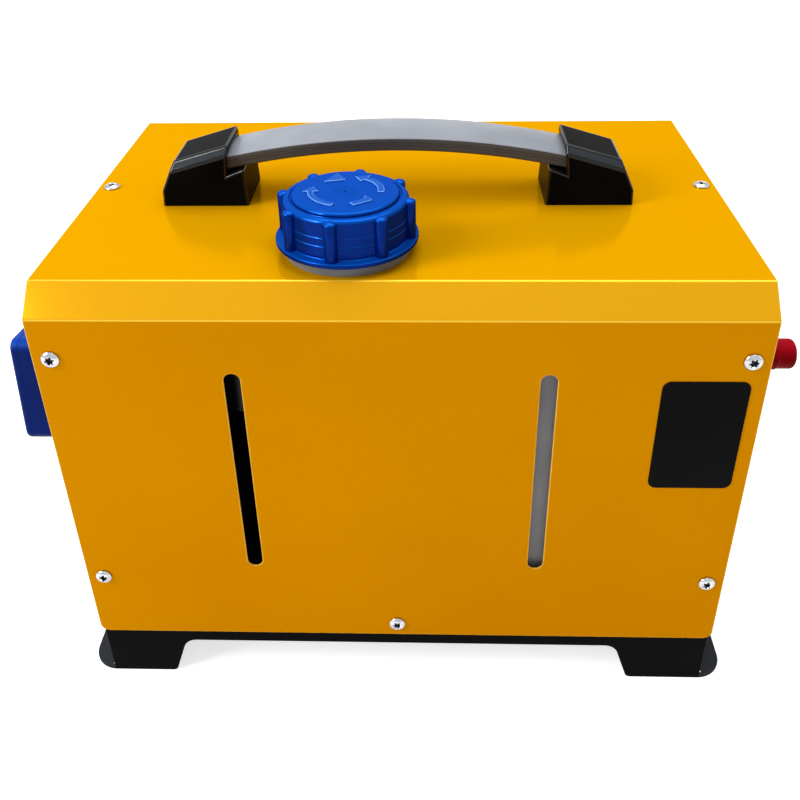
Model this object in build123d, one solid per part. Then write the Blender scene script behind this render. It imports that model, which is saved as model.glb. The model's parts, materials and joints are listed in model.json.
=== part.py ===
from build123d import *
from math import cos, degrees, hypot, radians, sin
import os

# A diesel air heater in a portable steel case. Millimetres, +Z up.
# The origin is on the ground at the middle of the four foot bolts.
# The front faces -Y, +X is the hot-air end and -X is the intake end.

# Clearances
fit_gap = 0.3          # between neighbouring pieces that slide past or drop into each other
bolt_gap = 0.1         # round a screw or a stud in its hole
press_gap = 0.02       # round a shaft in a hub or a plug in its seat
running_gap = 0.05     # round the fan shaft in its bearing

# Folded steel cover
case_length = 385.0
case_depth = 273.0
case_height = 286.0
cover_bottom = 39.0
cover_wall = 1.2
cover_bend = 1.4
cover_corner = 5.5
shoulder_run = 15.5
shoulder_drop = 15.0
window_left_x = -88.0
window_right_x = 79.5
window_width = 9.0
window_bottom = 98.0
window_top_drop = 48.0

# Base tray with its feet and bolt ears
deck_height = 60.0
base_wall = 1.5
base_bend = 2.0
notch_x = -2.8
notch_bottom_half = 146.8
notch_top_half = 136.8
notch_top_z = 29.3
notch_radius = 9.0
foot_toe_radius = 4.0
end_foot_y = 72.0
end_notch_y = 58.0
ear_reach = 16.0
ear_length = 57.0
ear_corner = 17.0
ear_hole_radius = 3.5
ear_hole_inset = 8.5
relief_radius = 1.4

# End panels
panel_wall = 1.2
panel_setback = 0.3
panel_bottom = 40.0
panel_corner = 5.0
flange_width = 15.5
grille_radius = 50.0
grille_slot = 5.0
grille_pitch = 9.5

# Cover screws
screw_radius = 2.0
screw_length = 9.0
screw_head_radius = 5.0
screw_head_height = 2.5
screw_rim_share = 0.3    # of the head's height, upright before the dome starts
screw_end_inset = 10.0
screw_upper_drop = 39.0
screw_lower_z = 87.5
centre_screw_x = -3.5
centre_screw_z = 49.0
top_screw_inset = 8.5

# Carrying handle
handle_x = -3.5
handle_y = -7.0
handle_depth = 43.0
cap_inner_x = 88.5
cap_ledge_x = 89.7
cap_rim_x = 99.6
cap_outer_x = 140.4
cap_heel_x = 140.0
cap_brow_x = 131.8
cap_heel_z = 9.4
cap_brow_z = 27.4
cap_rim_z = 37.0
cap_ledge_z = 23.2
cap_notch_z = 19.2
cap_facet_run = 3.0
cap_facet_drop = 4.0
cap_wall = 3.0
cap_edge = 1.0
grip_y = -5.3
grip_depth = 36.4
grip_side = 8.0
grip_crown = 1.8
grip_edge = 1.2
grip_groove = 0.5
grip_apex_z = 32.4
grip_rise = 10.6
grip_rise_x = 98.0
grip_entry = 12.0
handle_screw_radius = 2.5
handle_screw_head = 4.6
handle_screw_head_height = 3.2
handle_screw_bite = 12.0
handle_screw_x = 120.0
handle_screw_spread = 12.5
handle_boss_radius = 5.0

# Fuel tank, neck and cap
tank_left_x = -66.0
tank_right_x = 168.0
tank_front_gap = 3.6
tank_depth = 98.0
tank_headroom = 24.0
tank_pad = 3.0
tank_pad_width = 24.0
tank_wall = 3.0
tank_edge = 12.0
tank_end_edge = 7.2
neck_x = -28.1
neck_setback = 53.2
neck_radius = 30.0
neck_bore_radius = 26.5
neck_shoulder_radius = 36.0
neck_rise = 26.0
neck_ring_radius = 34.4
neck_ring_height = 6.2
neck_ring_edge = 1.0
fuel_cap_flange_radius = 38.8
fuel_cap_flange_height = 2.6
fuel_cap_wall = 2.6
fuel_cap_edge = 0.6
fuel_cap_waist = 0.8
fuel_cap_rise = 33.1
fuel_cap_shoulder_rise = 31.2
fuel_cap_shoulder_round = 2.4
fuel_cap_dial_radius = 28.9
fuel_cap_dial_round = 1.2
fuel_cap_dial_slope = 1.0
fuel_cap_dial_foot = 0.4
fuel_cap_rib_reach = 36.4
fuel_cap_rib_radius = 3.5
fuel_cap_rib_count = 8
fuel_cap_rib_start = -102.5
fuel_cap_rib_drop = 0.4
fuel_cap_rib_round = 1.6
seal_thickness = 2.2
outlet_barb_radius = 3.0
outlet_barb_length = 16.0
outlet_barb_setback = 66.5
outlet_barb_rise = 14.0
outlet_collar_radius = 6.0
outlet_collar = 2.5
line_radius = 2.4

# Heater core
core_y = 52.0
core_radius = 56.0
core_foot = 8.0
core_wall = 2.5
core_left_x = -172.0
core_right_x = 108.0
core_lip = 5.0
core_lip_height = 4.0
guard_depth = 4.0
guard_bar = 2.4
guard_spokes = 6
hood_collar = 6.0
hood_neck_x = 150.0
duct_radius = 37.5
duct_wall = 2.5
duct_length = 25.0
duct_flange_radius = 48.0
duct_flange = 2.5
duct_screw_circle = 43.0
duct_screw_head_radius = 4.0
shaft_radius = 3.0
shaft_left_x = -168.0
shaft_right_x = -67.0
fan_x = -154.0
fan_width = 22.0
fan_tip_gap = 3.5
fan_hub_radius = 15.0
fan_nose_radius = 9.0
fan_nose = 6.0
fan_root = 1.5
fan_blades = 9
fan_blade = 1.8
fan_blade_share = 0.8    # of the room between nose and rear face that a blade fills
fan_blade_shift = 1.5
fan_root_pitch = 52.0
fan_tip_pitch = 28.0
motor_left_x = -136.0
motor_right_x = -88.0
motor_radius = 24.0
motor_edge = 1.5
motor_collar_radius = 9.0
motor_collar = 3.0
blower_left_x = -84.0
blower_right_x = -64.0
blower_tip_gap = 7.5
blower_wall = 3.0
blower_boss_radius = 19.2
blower_lug = 9.0
blower_lugs = 4
blower_lug_inset = 4.0
wheel_radius = 36.0
wheel_tip_gap = 4.0
wheel_gap = 1.5
wheel_plate = 1.6
wheel_width = 9.0
wheel_hub_radius = 7.5
wheel_vane = 1.5
wheel_vanes = 12
wheel_vane_root = 6.0
wheel_vane_pivot = 25.2
wheel_vane_sweep = 25.0
burner_head_gap = 17.5
burner_head_right_x = -46.0
burner_head_plate = 6.0
burner_radius = 27.0
burner_wall = 1.5
burner_right_x = 30.0
burner_holes = 10
burner_hole_rows = 2
burner_hole_x = -32.0
burner_hole_pitch = 20.0
burner_hole_radius = 2.5
exchanger_right_x = 100.0
exchanger_air_gap = 15.5
exchanger_wall = 3.0
exchanger_end_wall = 4.0
exchanger_fin_gap = 2.5
exchanger_fin = 2.4
exchanger_fins = 18
exchanger_fin_inset = 6.0
exchanger_foot_length = 84.0
exchanger_foot_depth = 52.0
exchanger_foot_corner = 6.0
core_gasket = 2.0
pipe_radius = 12.0
pipe_wall = 1.2
pipe_root_radius = 13.2
pipe_root_drop = 2.5
pipe_x = 24.0
pipe_bottom_z = 20.0
pipe_insert = 8.0
stud_radius = 3.0
stud_x = 36.0
stud_y = 19.0
stud_insert = 9.0
stud_tail = 9.0
nut_width = 10.0
nut_height = 5.0
glow_x = -55.0
glow_radius = 4.0
glow_terminal_radius = 2.4
glow_hex_width = 10.0
glow_tip = 10.0
glow_top_gap = 3.5
glow_hex_height = 5.0
control_unit_length = 42.0
control_unit_depth = 44.0
control_unit_gap = 8.5
control_unit_corner = 6.0

# Fuel pump and filter
pump_x = -118.0
pump_setback = 36.0
pump_rise = 32.0
pump_length = 78.0
pump_radius = 14.0
pump_edge = 1.5
pump_end_radius = 9.0
pump_end_length = 9.0
nipple_radius = 2.4
nipple_length = 8.0
clamp_rise = 36.0
clamp_height = 20.0
clamp_wall = 5.0
clamp_lug = 18.0
bracket_wall = 2.0
bracket_setback = 14.5
bracket_width = 30.0
bracket_plate_left_x = -138.0
bracket_plate_right_x = -73.0
bracket_plate_height = 47.0
bracket_plate_drop = 36.0
bracket_foot = 26.0
bracket_corner = 4.0
filter_x = -152.0
filter_rise = 36.0
filter_length = 44.0
filter_radius = 10.0
filter_edge = 2.5
filter_clip = 2.0
filter_clip_arm = 6.0
line_bend = 15.0
line_loop_bend = 9.0
line_drop_bend = 10.5
line_tight_bend = 6.0
line_clearance = 10.0
pump_line_rise = 18.0
pump_line_drop = 9.0
pump_line_loop = 34.0
burner_line_x = -75.0
burner_line_rise = 24.0
burner_line_run = 40.0

# Controller on the intake end
controller_setback = 69.8
controller_drop = 75.3
controller_tilt = 7.0
controller_length = 120.0
controller_height = 62.0
controller_corner = 6.0
controller_edge = 2.5
controller_wall = 1.8
holder_thickness = 2.0
holder_border = 9.0
controller_back_depth = 11.8
controller_front_depth = 5.0
display_length = 52.0
display_height = 34.0
display_offset = -24.0
display_thickness = 1.5
display_corner = 2.0
display_recess = 0.3
display_rim = 2.0
board_thickness = 1.6
board_post_radius = 2.5
board_post_inset = 12.0
switch_width = 6.0
switch_height = 2.0
button_radius = 4.6
button_proud = 0.9
button_travel = 0.8
button_rim = 0.9
button_rim_radius = 5.6
button_edge = 0.6
button_offset = 31.0
button_pitch = 15.5
button_drop = 12.0

# Power terminals on the hot-air end
terminal_setback = 22.5
terminal_spacing = 45.0
terminal_drop = 48.6
terminal_stud_radius = 3.0
terminal_inner_length = 12.0
terminal_outer_length = 16.0
terminal_nut_width = 10.0
terminal_nut_height = 5.0
terminal_bush_radius = 6.2
terminal_inner_bush_radius = 8.1
terminal_bush_height = 3.0
boot_radius = 8.7
boot_tip_radius = 8.2
boot_step = 9.5
boot_length = 19.4
boot_wall = 1.6
boot_roof = 2.4
boot_edge = 0.4
boot_slope = 1.0
boot_round = 2.4

# Places that follow from the sizes above
end_x = case_length / 2
front_y = -case_depth / 2
inner_front_y = front_y + cover_wall
inner_top_z = case_height - cover_wall
window_top = case_height - window_top_drop
screw_upper_z = case_height - screw_upper_drop
base_y = case_depth / 2 - cover_wall - fit_gap
panel_face_x = end_x - panel_setback
panel_back_x = panel_face_x - panel_wall
base_x = panel_back_x - fit_gap
deck_under_z = deck_height - base_wall
ear_x = base_x + ear_reach - ear_hole_inset
ear_y = base_y - ear_length / 2
neck_top_z = case_height + neck_rise
tank_front_y = inner_front_y + tank_front_gap
tank_back_y = tank_front_y + tank_depth
tank_bottom_z = deck_height + tank_pad
tank_top_z = case_height - tank_headroom
neck_y = front_y + neck_setback
outlet_barb_y = front_y + outlet_barb_setback
outlet_barb_z = tank_bottom_z + outlet_barb_rise
core_bottom_z = deck_height + core_gasket
core_z = core_bottom_z + core_foot + core_radius
core_bore = core_radius - core_wall
fan_radius = core_bore - fan_tip_gap
blower_radius = core_bore - blower_tip_gap
exchanger_fin_radius = core_bore - exchanger_fin_gap
exchanger_radius = core_bore - exchanger_air_gap
burner_head_radius = core_bore - burner_head_gap
glow_top = core_bore - glow_top_gap
glow_hex_rise = burner_head_radius + 1
control_unit_top = core_bore - control_unit_gap
fuel_cap_bottom_z = case_height + neck_ring_height + fit_gap
fuel_cap_bore_radius = neck_radius + fit_gap
seal_bottom_z = neck_top_z + fit_gap
seal_top_z = seal_bottom_z + seal_thickness
fuel_cap_roof_z = seal_top_z + fit_gap
bracket_y = front_y + bracket_setback
bracket_plate_top_z = case_height - bracket_plate_drop
bracket_plate_bottom_z = bracket_plate_top_z - bracket_plate_height
pump_y = bracket_y + pump_setback
pump_bottom_z = deck_height + pump_rise
pump_top_z = pump_bottom_z + pump_length
clamp_z = pump_bottom_z + clamp_rise
filter_y = pump_y
filter_bottom_z = deck_height + filter_rise
filter_top_z = filter_bottom_z + filter_length
burner_line_z = core_z + core_radius + burner_line_rise
controller_y = front_y + controller_setback
controller_z = case_height - controller_drop
terminal_y = front_y + terminal_setback
terminal_z = case_height - terminal_drop
holder_face_x = -panel_face_x - holder_thickness
controller_split_x = holder_face_x - controller_back_depth
controller_face_x = controller_split_x - controller_front_depth
controller_inner_x = controller_face_x + controller_wall


def block(x0, x1, y0, y1, z0, z1):
    """A plain block between two corners."""
    middle = Pos((x0 + x1) / 2, (y0 + y1) / 2, (z0 + z1) / 2)
    return middle * Box(abs(x1 - x0), abs(y1 - y0), abs(z1 - z0))


def rod_x(radius, x0, x1, y, z):
    """A round bar along X."""
    return Pos((x0 + x1) / 2, y, z) * Rot(0, 90, 0) * Cylinder(radius, abs(x1 - x0))


def rod_y(radius, y0, y1, x, z):
    """A round bar along Y."""
    return Pos(x, (y0 + y1) / 2, z) * Rot(90, 0, 0) * Cylinder(radius, abs(y1 - y0))


def rod_z(radius, z0, z1, x, y):
    """A round bar along Z."""
    return Pos(x, y, (z0 + z1) / 2) * Cylinder(radius, abs(z1 - z0))


def tube_x(radius, bore, x0, x1, y, z):
    """A round tube along X."""
    return rod_x(radius, x0, x1, y, z) - rod_x(bore, x0, x1, y, z)


def hex_prism(width, height):
    """A hexagonal prism of the given width across flats, standing on the XY plane."""
    return extrude(RegularPolygon(width / 2, 6, major_radius=False), height)


def ring_of(shape, count):
    """Copies of a shape turned evenly round the X axis."""
    return [Rot(turn * 360 / count, 0, 0) * shape for turn in range(count)]


def joined(first, others):
    """The first solid with all the others joined to it."""
    for other in others:
        first = first + other
    return first


def cut(first, others):
    """The first solid with all the others cut out of it."""
    for other in others:
        first = first - other
    return first


# ---- casing -------------------------------------------------------------------


def case_section(inset, bottom, bend):
    """The casing seen from its end: straight sides, slanted shoulders and a flat top."""
    slant = hypot(shoulder_run, shoulder_drop)
    side_y = case_depth / 2 - inset
    shoulder_z = case_height - shoulder_drop - inset * (slant - shoulder_drop) / shoulder_run
    brow_y = case_depth / 2 - shoulder_run - inset * (slant - shoulder_run) / shoulder_drop
    top_z = case_height - inset
    outline = FilletPolyline(
        (-side_y, bottom),
        (-side_y, shoulder_z),
        (-brow_y, top_z),
        (brow_y, top_z),
        (side_y, shoulder_z),
        (side_y, bottom),
        radius=bend,
    )
    return make_face(outline + Line((side_y, bottom), (-side_y, bottom)))


def cover_screw_places():
    """Places (x, z) of the screws in the front; the back has the same ones."""
    side_x = end_x - screw_end_inset
    corners = [(side * side_x, z) for side in (-1, 1) for z in (screw_lower_z, screw_upper_z)]
    return corners + [(centre_screw_x, centre_screw_z)]


def top_screw_places():
    """Places x of the two screws in the top."""
    return [side * (end_x - top_screw_inset) for side in (-1, 1)]


def window_cut(x):
    """The long round-ended sight window, cut through the front."""
    height = window_top - window_bottom
    slot = SlotOverall(height, window_width, rotation=90)
    place = Plane((x, front_y - 1, (window_top + window_bottom) / 2), x_dir=(1, 0, 0), z_dir=(0, 1, 0))
    return extrude(place * slot, cover_wall + 2)


def make_cover():
    """Front, slanted shoulders, top and back, folded from one yellow sheet."""
    outside = case_section(0, cover_bottom, cover_bend + cover_wall)
    inside = case_section(cover_wall, cover_bottom, cover_bend)
    sheet = extrude(Plane.YZ * (outside - inside), end_x, both=True)
    corners = sheet.edges().filter_by(Axis.Y).group_by(Axis.Z)[0]
    sheet = fillet(corners, cover_corner)
    hole = screw_radius + bolt_gap
    holes = [rod_y(hole, -case_depth, case_depth, x, z) for x, z in cover_screw_places()]
    holes += [rod_z(hole, inner_top_z - 1, case_height + 1, x, 0) for x in top_screw_places()]
    holes += [window_cut(window_left_x), window_cut(window_right_x)]
    holes += [rod_z(neck_radius + fit_gap, inner_top_z - 1, case_height + 1, neck_x, neck_y)]
    holes += [
        rod_z(handle_screw_radius + bolt_gap, inner_top_z - 1, case_height + 1, x, y)
        for x, y in handle_screw_places()
    ]
    return cut(sheet, holes)


def notch_section(bottom_half, top_half):
    """The opening between two feet: slanted sides, rounded at the toes and at the band."""
    below = -1.0
    lip = foot_toe_radius * 2
    outline = FilletPolyline(
        (-bottom_half - lip, below),
        (-bottom_half - lip, 0),
        (-bottom_half, 0),
        (-top_half, notch_top_z),
        (top_half, notch_top_z),
        (bottom_half, 0),
        (bottom_half + lip, 0),
        (bottom_half + lip, below),
        radius=[0, foot_toe_radius, notch_radius, notch_radius, foot_toe_radius, 0],
    )
    return make_face(outline + Line((bottom_half + lip, below), (-bottom_half - lip, below)))


def make_ear(x_side, y_side):
    """A flat ear bent outwards from the end of the tray, with a round outer edge."""
    length_in = base_wall + ear_reach
    flat = Rectangle(length_in * 2, ear_length)
    flat = fillet(flat.vertices(), ear_corner)
    flat = flat & Pos(length_in / 2, 0) * Rectangle(length_in, ear_length)
    ear = extrude(flat, base_wall)
    if x_side < 0:
        ear = mirror(ear, Plane.YZ)
    return Pos(x_side * (base_x - base_wall), y_side * ear_y, 0) * ear


def make_base_tray():
    """Inverted tray: deck, skirts cut into four feet, ears and holes."""
    tray = block(-base_x, base_x, -base_y, base_y, 0, deck_height)
    top_edges = tray.faces().sort_by(Axis.Z)[-1].edges()
    tray = fillet(top_edges, base_bend)
    tray -= block(
        base_wall - base_x, base_x - base_wall, base_wall - base_y, base_y - base_wall, -1, deck_under_z
    )
    front_notch = notch_section(notch_bottom_half, notch_top_half)
    end_notch = notch_section(end_foot_y, end_notch_y)
    tray -= Pos(notch_x, 0, 0) * extrude(Plane.XZ * front_notch, base_y + 1, both=True)
    tray -= extrude(Plane.YZ * end_notch, base_x + 1, both=True)
    for x_side in (-1, 1):
        for y_side in (-1, 1):
            tray += make_ear(x_side, y_side)
            tray -= rod_z(ear_hole_radius, -1, base_wall + 1, x_side * ear_x, y_side * ear_y)
            relief_y = y_side * (base_y - 2 * base_wall - relief_radius)
            tray -= rod_z(relief_radius, -1, base_wall + 1, x_side * (base_x + relief_radius), relief_y)
    tray -= rod_y(screw_radius + bolt_gap, -case_depth, case_depth, centre_screw_x, centre_screw_z)
    for x in (-pipe_x, pipe_x):
        tray -= rod_z(pipe_root_radius + fit_gap, deck_under_z - 1, deck_height + 1, x, core_y)
    for x, y in stud_places():
        tray -= rod_z(stud_radius + bolt_gap, deck_under_z - 1, deck_height + 1, x, y)
    return tray


def make_end_panel(side):
    """A flanged pan that closes one end of the cover."""
    inset = cover_wall + fit_gap
    plate = extrude(Plane.YZ * case_section(inset, panel_bottom, cover_bend), panel_wall)
    corners = plate.edges().filter_by(Axis.X).group_by(Axis.Z)[0]
    plate = fillet(corners, panel_corner)
    rim_bottom = deck_height + fit_gap
    rim_section = case_section(inset, rim_bottom, cover_bend + panel_wall)
    rim_section -= case_section(inset + panel_wall, rim_bottom, cover_bend)
    rim = extrude(Plane.YZ * rim_section, -flange_width)
    pan = Pos(panel_back_x, 0, 0) * (plate + rim)
    if side < 0:
        pan = mirror(pan, Plane.YZ)
    hole = screw_radius + bolt_gap
    for x, z in cover_screw_places()[:4]:
        if x * side > 0:
            pan -= rod_y(hole, -case_depth, case_depth, x, z)
    for x in top_screw_places():
        if x * side > 0:
            pan -= rod_z(hole, inner_top_z - fit_gap - panel_wall - 1, case_height, x, 0)
    return pan


def grille_slots():
    """Rows of round-ended slots that fill a circle in front of the fan."""
    slots = []
    rows = int(grille_radius // grille_pitch)
    for row in range(-rows, rows + 1):
        height = row * grille_pitch
        reach = (grille_radius**2 - height**2) ** 0.5 + grille_slot / 2
        if reach < grille_slot:
            continue
        place = Plane((-end_x - 1, core_y, core_z + height), x_dir=(0, 1, 0), z_dir=(1, 0, 0))
        slots.append(extrude(place * SlotOverall(reach * 2, grille_slot), panel_wall + 3))
    return slots


def make_end_panel_left():
    """Intake end with the slotted grille in front of the fan."""
    return cut(make_end_panel(-1), grille_slots())


def make_end_panel_right():
    """Hot-air end: the duct hole, the four screw holes round it and the two terminal holes."""
    holes = [rod_x(duct_radius - duct_wall, panel_back_x - 1, end_x + 1, core_y, core_z)]
    holes += [
        rod_x(terminal_stud_radius + fit_gap, panel_back_x - 1, end_x + 1, y, terminal_z)
        for y in terminal_places()
    ]
    holes += [
        rod_x(screw_radius + bolt_gap, panel_back_x - 1, end_x + 1, y, z) for y, z in duct_screw_places()
    ]
    return cut(make_end_panel(1), holes)


def domed_screw(radius, length, head_radius, head_height):
    """A screw with a low domed head; its head seats on the XY plane and it points down."""
    rim = head_height * screw_rim_share
    rise = head_height - rim
    dome_radius = (head_radius**2 + rise**2) / (2 * rise)
    sides = Polyline(
        (0, head_height),
        (0, -length),
        (radius, -length),
        (radius, 0),
        (head_radius, 0),
        (head_radius, rim),
    )
    dome = RadiusArc((head_radius, rim), (0, head_height), -dome_radius)
    return revolve(Plane.XZ * make_face(sides + dome), Axis.Z)


def cover_screw():
    """One of the screws that hold the cover."""
    return domed_screw(screw_radius, screw_length, screw_head_radius, screw_head_height)


def make_front_screws():
    """Five screws in the front."""
    return [
        Pos(x, front_y, z) * Rot(90, 0, 0) * cover_screw() for x, z in cover_screw_places()
    ]


def make_back_screws():
    """Five screws in the back."""
    return [
        Pos(x, -front_y, z) * Rot(-90, 0, 0) * cover_screw() for x, z in cover_screw_places()
    ]


def make_top_screws():
    """Two screws in the top."""
    return [Pos(x, 0, case_height) * cover_screw() for x in top_screw_places()]


# ---- carrying handle ----------------------------------------------------------


def handle_screw_places():
    """Places (x, y) of the four screws that hold the handle caps."""
    return [
        (handle_x + side * handle_screw_x, handle_y + spread)
        for side in (-1, 1)
        for spread in (-handle_screw_spread, handle_screw_spread)
    ]


def grip_section(extra):
    """Flat underside, upright sides with a fine groove and a low crown on top."""
    half = grip_depth / 2 + extra
    low = grip_apex_z - extra
    high = grip_apex_z + grip_side + extra
    groove_z = grip_apex_z + grip_side / 2
    sides = FilletPolyline((-half, high), (-half, low), (half, low), (half, high), radius=grip_edge)
    section = make_face(sides + ThreePointArc((half, high), (0, high + grip_crown), (-half, high)))
    if extra == 0:
        for side in (-1, 1):
            section -= Pos(side * half, groove_z) * Rectangle(grip_groove * 2, grip_groove)
    return section


def grip_bar(extra, reach):
    """The arched bar: its section swung about an axis far below the handle."""
    arch_radius = (grip_rise_x**2 + grip_rise**2) / (2 * grip_rise)
    swing = degrees(reach / arch_radius)
    hub_z = case_height + grip_apex_z - arch_radius
    place = Plane((handle_x, grip_y, case_height), x_dir=(0, 1, 0), z_dir=(1, 0, 0))
    axis = Axis((handle_x, grip_y, hub_z), (0, 1, 0))
    face = (place * grip_section(extra)).rotate(axis, -swing)
    return revolve(face, axis, swing * 2)


def make_handle_grip():
    """Grey arched grip; both ends reach into the caps."""
    return grip_bar(0, cap_rim_x + grip_entry)


def make_handle_cap(side):
    """Wedge-shaped black end cap with a hood over the grip and a ledge under it."""
    profile = make_face(
        Polyline(
            (cap_inner_x, 0),
            (cap_outer_x, 0),
            (cap_heel_x, cap_heel_z),
            (cap_brow_x, cap_brow_z),
            (cap_rim_x, cap_rim_z),
            (cap_rim_x, cap_notch_z),
            (cap_ledge_x, cap_ledge_z),
            close=True,
        )
    )
    cap = extrude(Plane.XZ * profile, handle_depth / 2, both=True)
    crest = cap.faces().sort_by(Axis.Z)[-1].edges().sort_by(Axis.Y)
    cap = chamfer([crest[0], crest[-1]], cap_facet_drop, cap_facet_run)
    cap = fillet(cap.edges().filter_by(Axis.Y).sort_by(Axis.X)[-2:], cap_edge)
    hollow_z = cap_notch_z - cap_wall * 2
    hollow = block(
        cap_inner_x + cap_wall,
        cap_brow_x - cap_wall,
        cap_wall - handle_depth / 2,
        handle_depth / 2 - cap_wall,
        -1,
        hollow_z,
    )
    for spread in (-handle_screw_spread, handle_screw_spread):
        hollow -= rod_z(handle_boss_radius, -1, hollow_z, handle_screw_x, spread)
    cap -= hollow
    for spread in (-handle_screw_spread, handle_screw_spread):
        bite = handle_screw_bite + bolt_gap
        cap -= rod_z(handle_screw_radius + bolt_gap, -1, bite, handle_screw_x, spread)
    if side < 0:
        cap = mirror(cap, Plane.YZ)
    cap = Pos(handle_x, handle_y, case_height) * cap
    return cap - grip_bar(fit_gap, cap_rim_x + grip_entry + fit_gap)


def make_handle_screws():
    """Four screws from inside the cover into the handle caps."""
    length = cover_wall + handle_screw_bite
    screw = domed_screw(handle_screw_radius, length, handle_screw_head, handle_screw_head_height)
    return [Pos(x, y, inner_top_z) * Rot(180, 0, 0) * screw for x, y in handle_screw_places()]


# ---- fuel tank ----------------------------------------------------------------


def tank_form(inset):
    """The rounded outside or inside of the tank."""
    form = block(
        tank_left_x + inset,
        tank_right_x - inset,
        tank_front_y + inset,
        tank_back_y - inset,
        tank_bottom_z + inset,
        tank_top_z - inset,
    )
    round_edge = tank_edge - inset
    form = fillet(form.edges().filter_by(Axis.Z), round_edge)
    ends = form.faces().sort_by(Axis.Z)
    return fillet(ends[-1].edges() + ends[0].edges(), min(tank_end_edge, round_edge * 0.6))


def make_fuel_tank():
    """Blow-moulded translucent tank with its filler neck."""
    neck_floor_z = tank_top_z - tank_wall * 2
    tank = tank_form(0)
    tank += rod_z(neck_shoulder_radius, neck_floor_z, inner_top_z - fit_gap, neck_x, neck_y)
    tank += rod_z(neck_radius, neck_floor_z, neck_top_z, neck_x, neck_y)
    tank -= tank_form(tank_wall)
    tank -= rod_z(neck_bore_radius, neck_floor_z - 1, neck_top_z + 1, neck_x, neck_y)
    hole = outlet_barb_radius + press_gap
    return tank - rod_x(hole, tank_left_x - 1, tank_left_x + tank_wall + 1, outlet_barb_y, outlet_barb_z)


def make_tank_pads():
    """Two foam strips that the tank stands on."""
    inset = tank_edge + tank_pad_width / 2
    return [
        block(
            x - tank_pad_width / 2,
            x + tank_pad_width / 2,
            tank_front_y + tank_edge,
            tank_back_y - tank_edge,
            deck_height,
            tank_bottom_z,
        )
        for x in (tank_left_x + inset, tank_right_x - inset)
    ]


def make_tank_outlet():
    """Barbed fuel outlet low in the tank's intake-side wall."""
    tip_x = tank_left_x - outlet_barb_length
    wall_x = tank_left_x + tank_wall
    barb = rod_x(outlet_barb_radius, tip_x, wall_x, outlet_barb_y, outlet_barb_z)
    collar = rod_x(
        outlet_collar_radius, tank_left_x - outlet_collar, tank_left_x, outlet_barb_y, outlet_barb_z
    )
    flange = rod_x(outlet_collar_radius, wall_x, wall_x + outlet_collar, outlet_barb_y, outlet_barb_z)
    return barb + collar + flange


def make_neck_ring():
    """Pale ring on the neck that clamps the tank to the top sheet."""
    ring_top_z = case_height + neck_ring_height
    ring = rod_z(neck_ring_radius, case_height, ring_top_z, neck_x, neck_y)
    upper = ring.faces().sort_by(Axis.Z)[-1].edges()
    ring = fillet(upper, neck_ring_edge)
    return ring - rod_z(neck_radius + fit_gap, case_height - 1, ring_top_z + 1, neck_x, neck_y)


def make_fuel_cap():
    """Blue screw cap: flanged skirt, rounded shoulder, raised dial and grip ribs."""
    body_radius = fuel_cap_bore_radius + fuel_cap_wall
    bottom = fuel_cap_bottom_z - case_height
    flange_top = bottom + fuel_cap_flange_height
    waist = flange_top + fuel_cap_waist
    shoulder = fuel_cap_shoulder_rise
    bend = fuel_cap_shoulder_round
    outline = FilletPolyline(
        (0, bottom),
        (fuel_cap_flange_radius, bottom),
        (fuel_cap_flange_radius, flange_top),
        (body_radius, waist),
        (body_radius, shoulder),
        (fuel_cap_dial_radius + fuel_cap_dial_slope, shoulder),
        (fuel_cap_dial_radius, fuel_cap_rise),
        (0, fuel_cap_rise),
        radius=[fuel_cap_edge, fuel_cap_edge, fuel_cap_edge, bend, fuel_cap_dial_foot, fuel_cap_dial_round],
    )
    profile = make_face(outline + Line((0, fuel_cap_rise), (0, bottom)))
    cap = revolve(Plane.XZ * profile, Axis.Z)
    rib_centre = fuel_cap_rib_reach - fuel_cap_rib_radius
    rib_top = shoulder - fuel_cap_rib_drop
    rib = Pos(rib_centre, 0, (waist + rib_top) / 2) * Cylinder(fuel_cap_rib_radius, rib_top - waist + 1)
    rib = fillet(rib.faces().sort_by(Axis.Z)[-1].edges(), fuel_cap_rib_round)
    turns = [fuel_cap_rib_start + 360 / fuel_cap_rib_count * step for step in range(fuel_cap_rib_count)]
    cap = joined(cap, [Rot(0, 0, turn) * rib for turn in turns])
    roof = fuel_cap_roof_z - case_height
    cap -= Pos(0, 0, (bottom - 1 + roof) / 2) * Cylinder(fuel_cap_bore_radius, roof - bottom + 1)
    return Pos(neck_x, neck_y, case_height) * cap


def make_cap_seal():
    """Flat rubber seal that the cap presses on the neck."""
    return rod_z(fuel_cap_bore_radius - fit_gap, seal_bottom_z, seal_top_z, neck_x, neck_y)


# ---- heater core --------------------------------------------------------------


def stud_places():
    """Places (x, y) of the four studs that hold the core to the deck."""
    return [(x, core_y + y) for x in (-stud_x, stud_x) for y in (-stud_y, stud_y)]


def at_core(shape):
    """Moves a shape made round the X axis onto the core's axis."""
    return Pos(0, core_y, core_z) * shape


def core_shell():
    """Both halves of the plastic air jacket in one, with its joint lips."""
    shell = rod_x(core_radius, core_left_x, core_right_x, 0, 0)
    lip_reach = core_radius + core_lip
    shell += block(core_left_x, core_right_x, -lip_reach, lip_reach, -core_lip_height, core_lip_height)
    shell -= rod_x(core_bore, core_left_x - 1, core_right_x + 1, 0, 0)
    foot_x = exchanger_foot_length / 2 + fit_gap
    foot_y = exchanger_foot_depth / 2 + fit_gap
    return shell - block(-foot_x, foot_x, -foot_y, foot_y, -core_radius - 1, -exchanger_radius)


def make_core_lower_shell():
    """Lower half of the air jacket, open round the exchanger's foot."""
    half = block(-end_x, end_x, -case_depth, case_depth, -case_height, 0)
    return at_core(core_shell() & half)


def make_core_upper_shell():
    """Upper half of the air jacket."""
    half = block(-end_x, end_x, -case_depth, case_depth, 0, case_height)
    return at_core(core_shell() & half)


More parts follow.
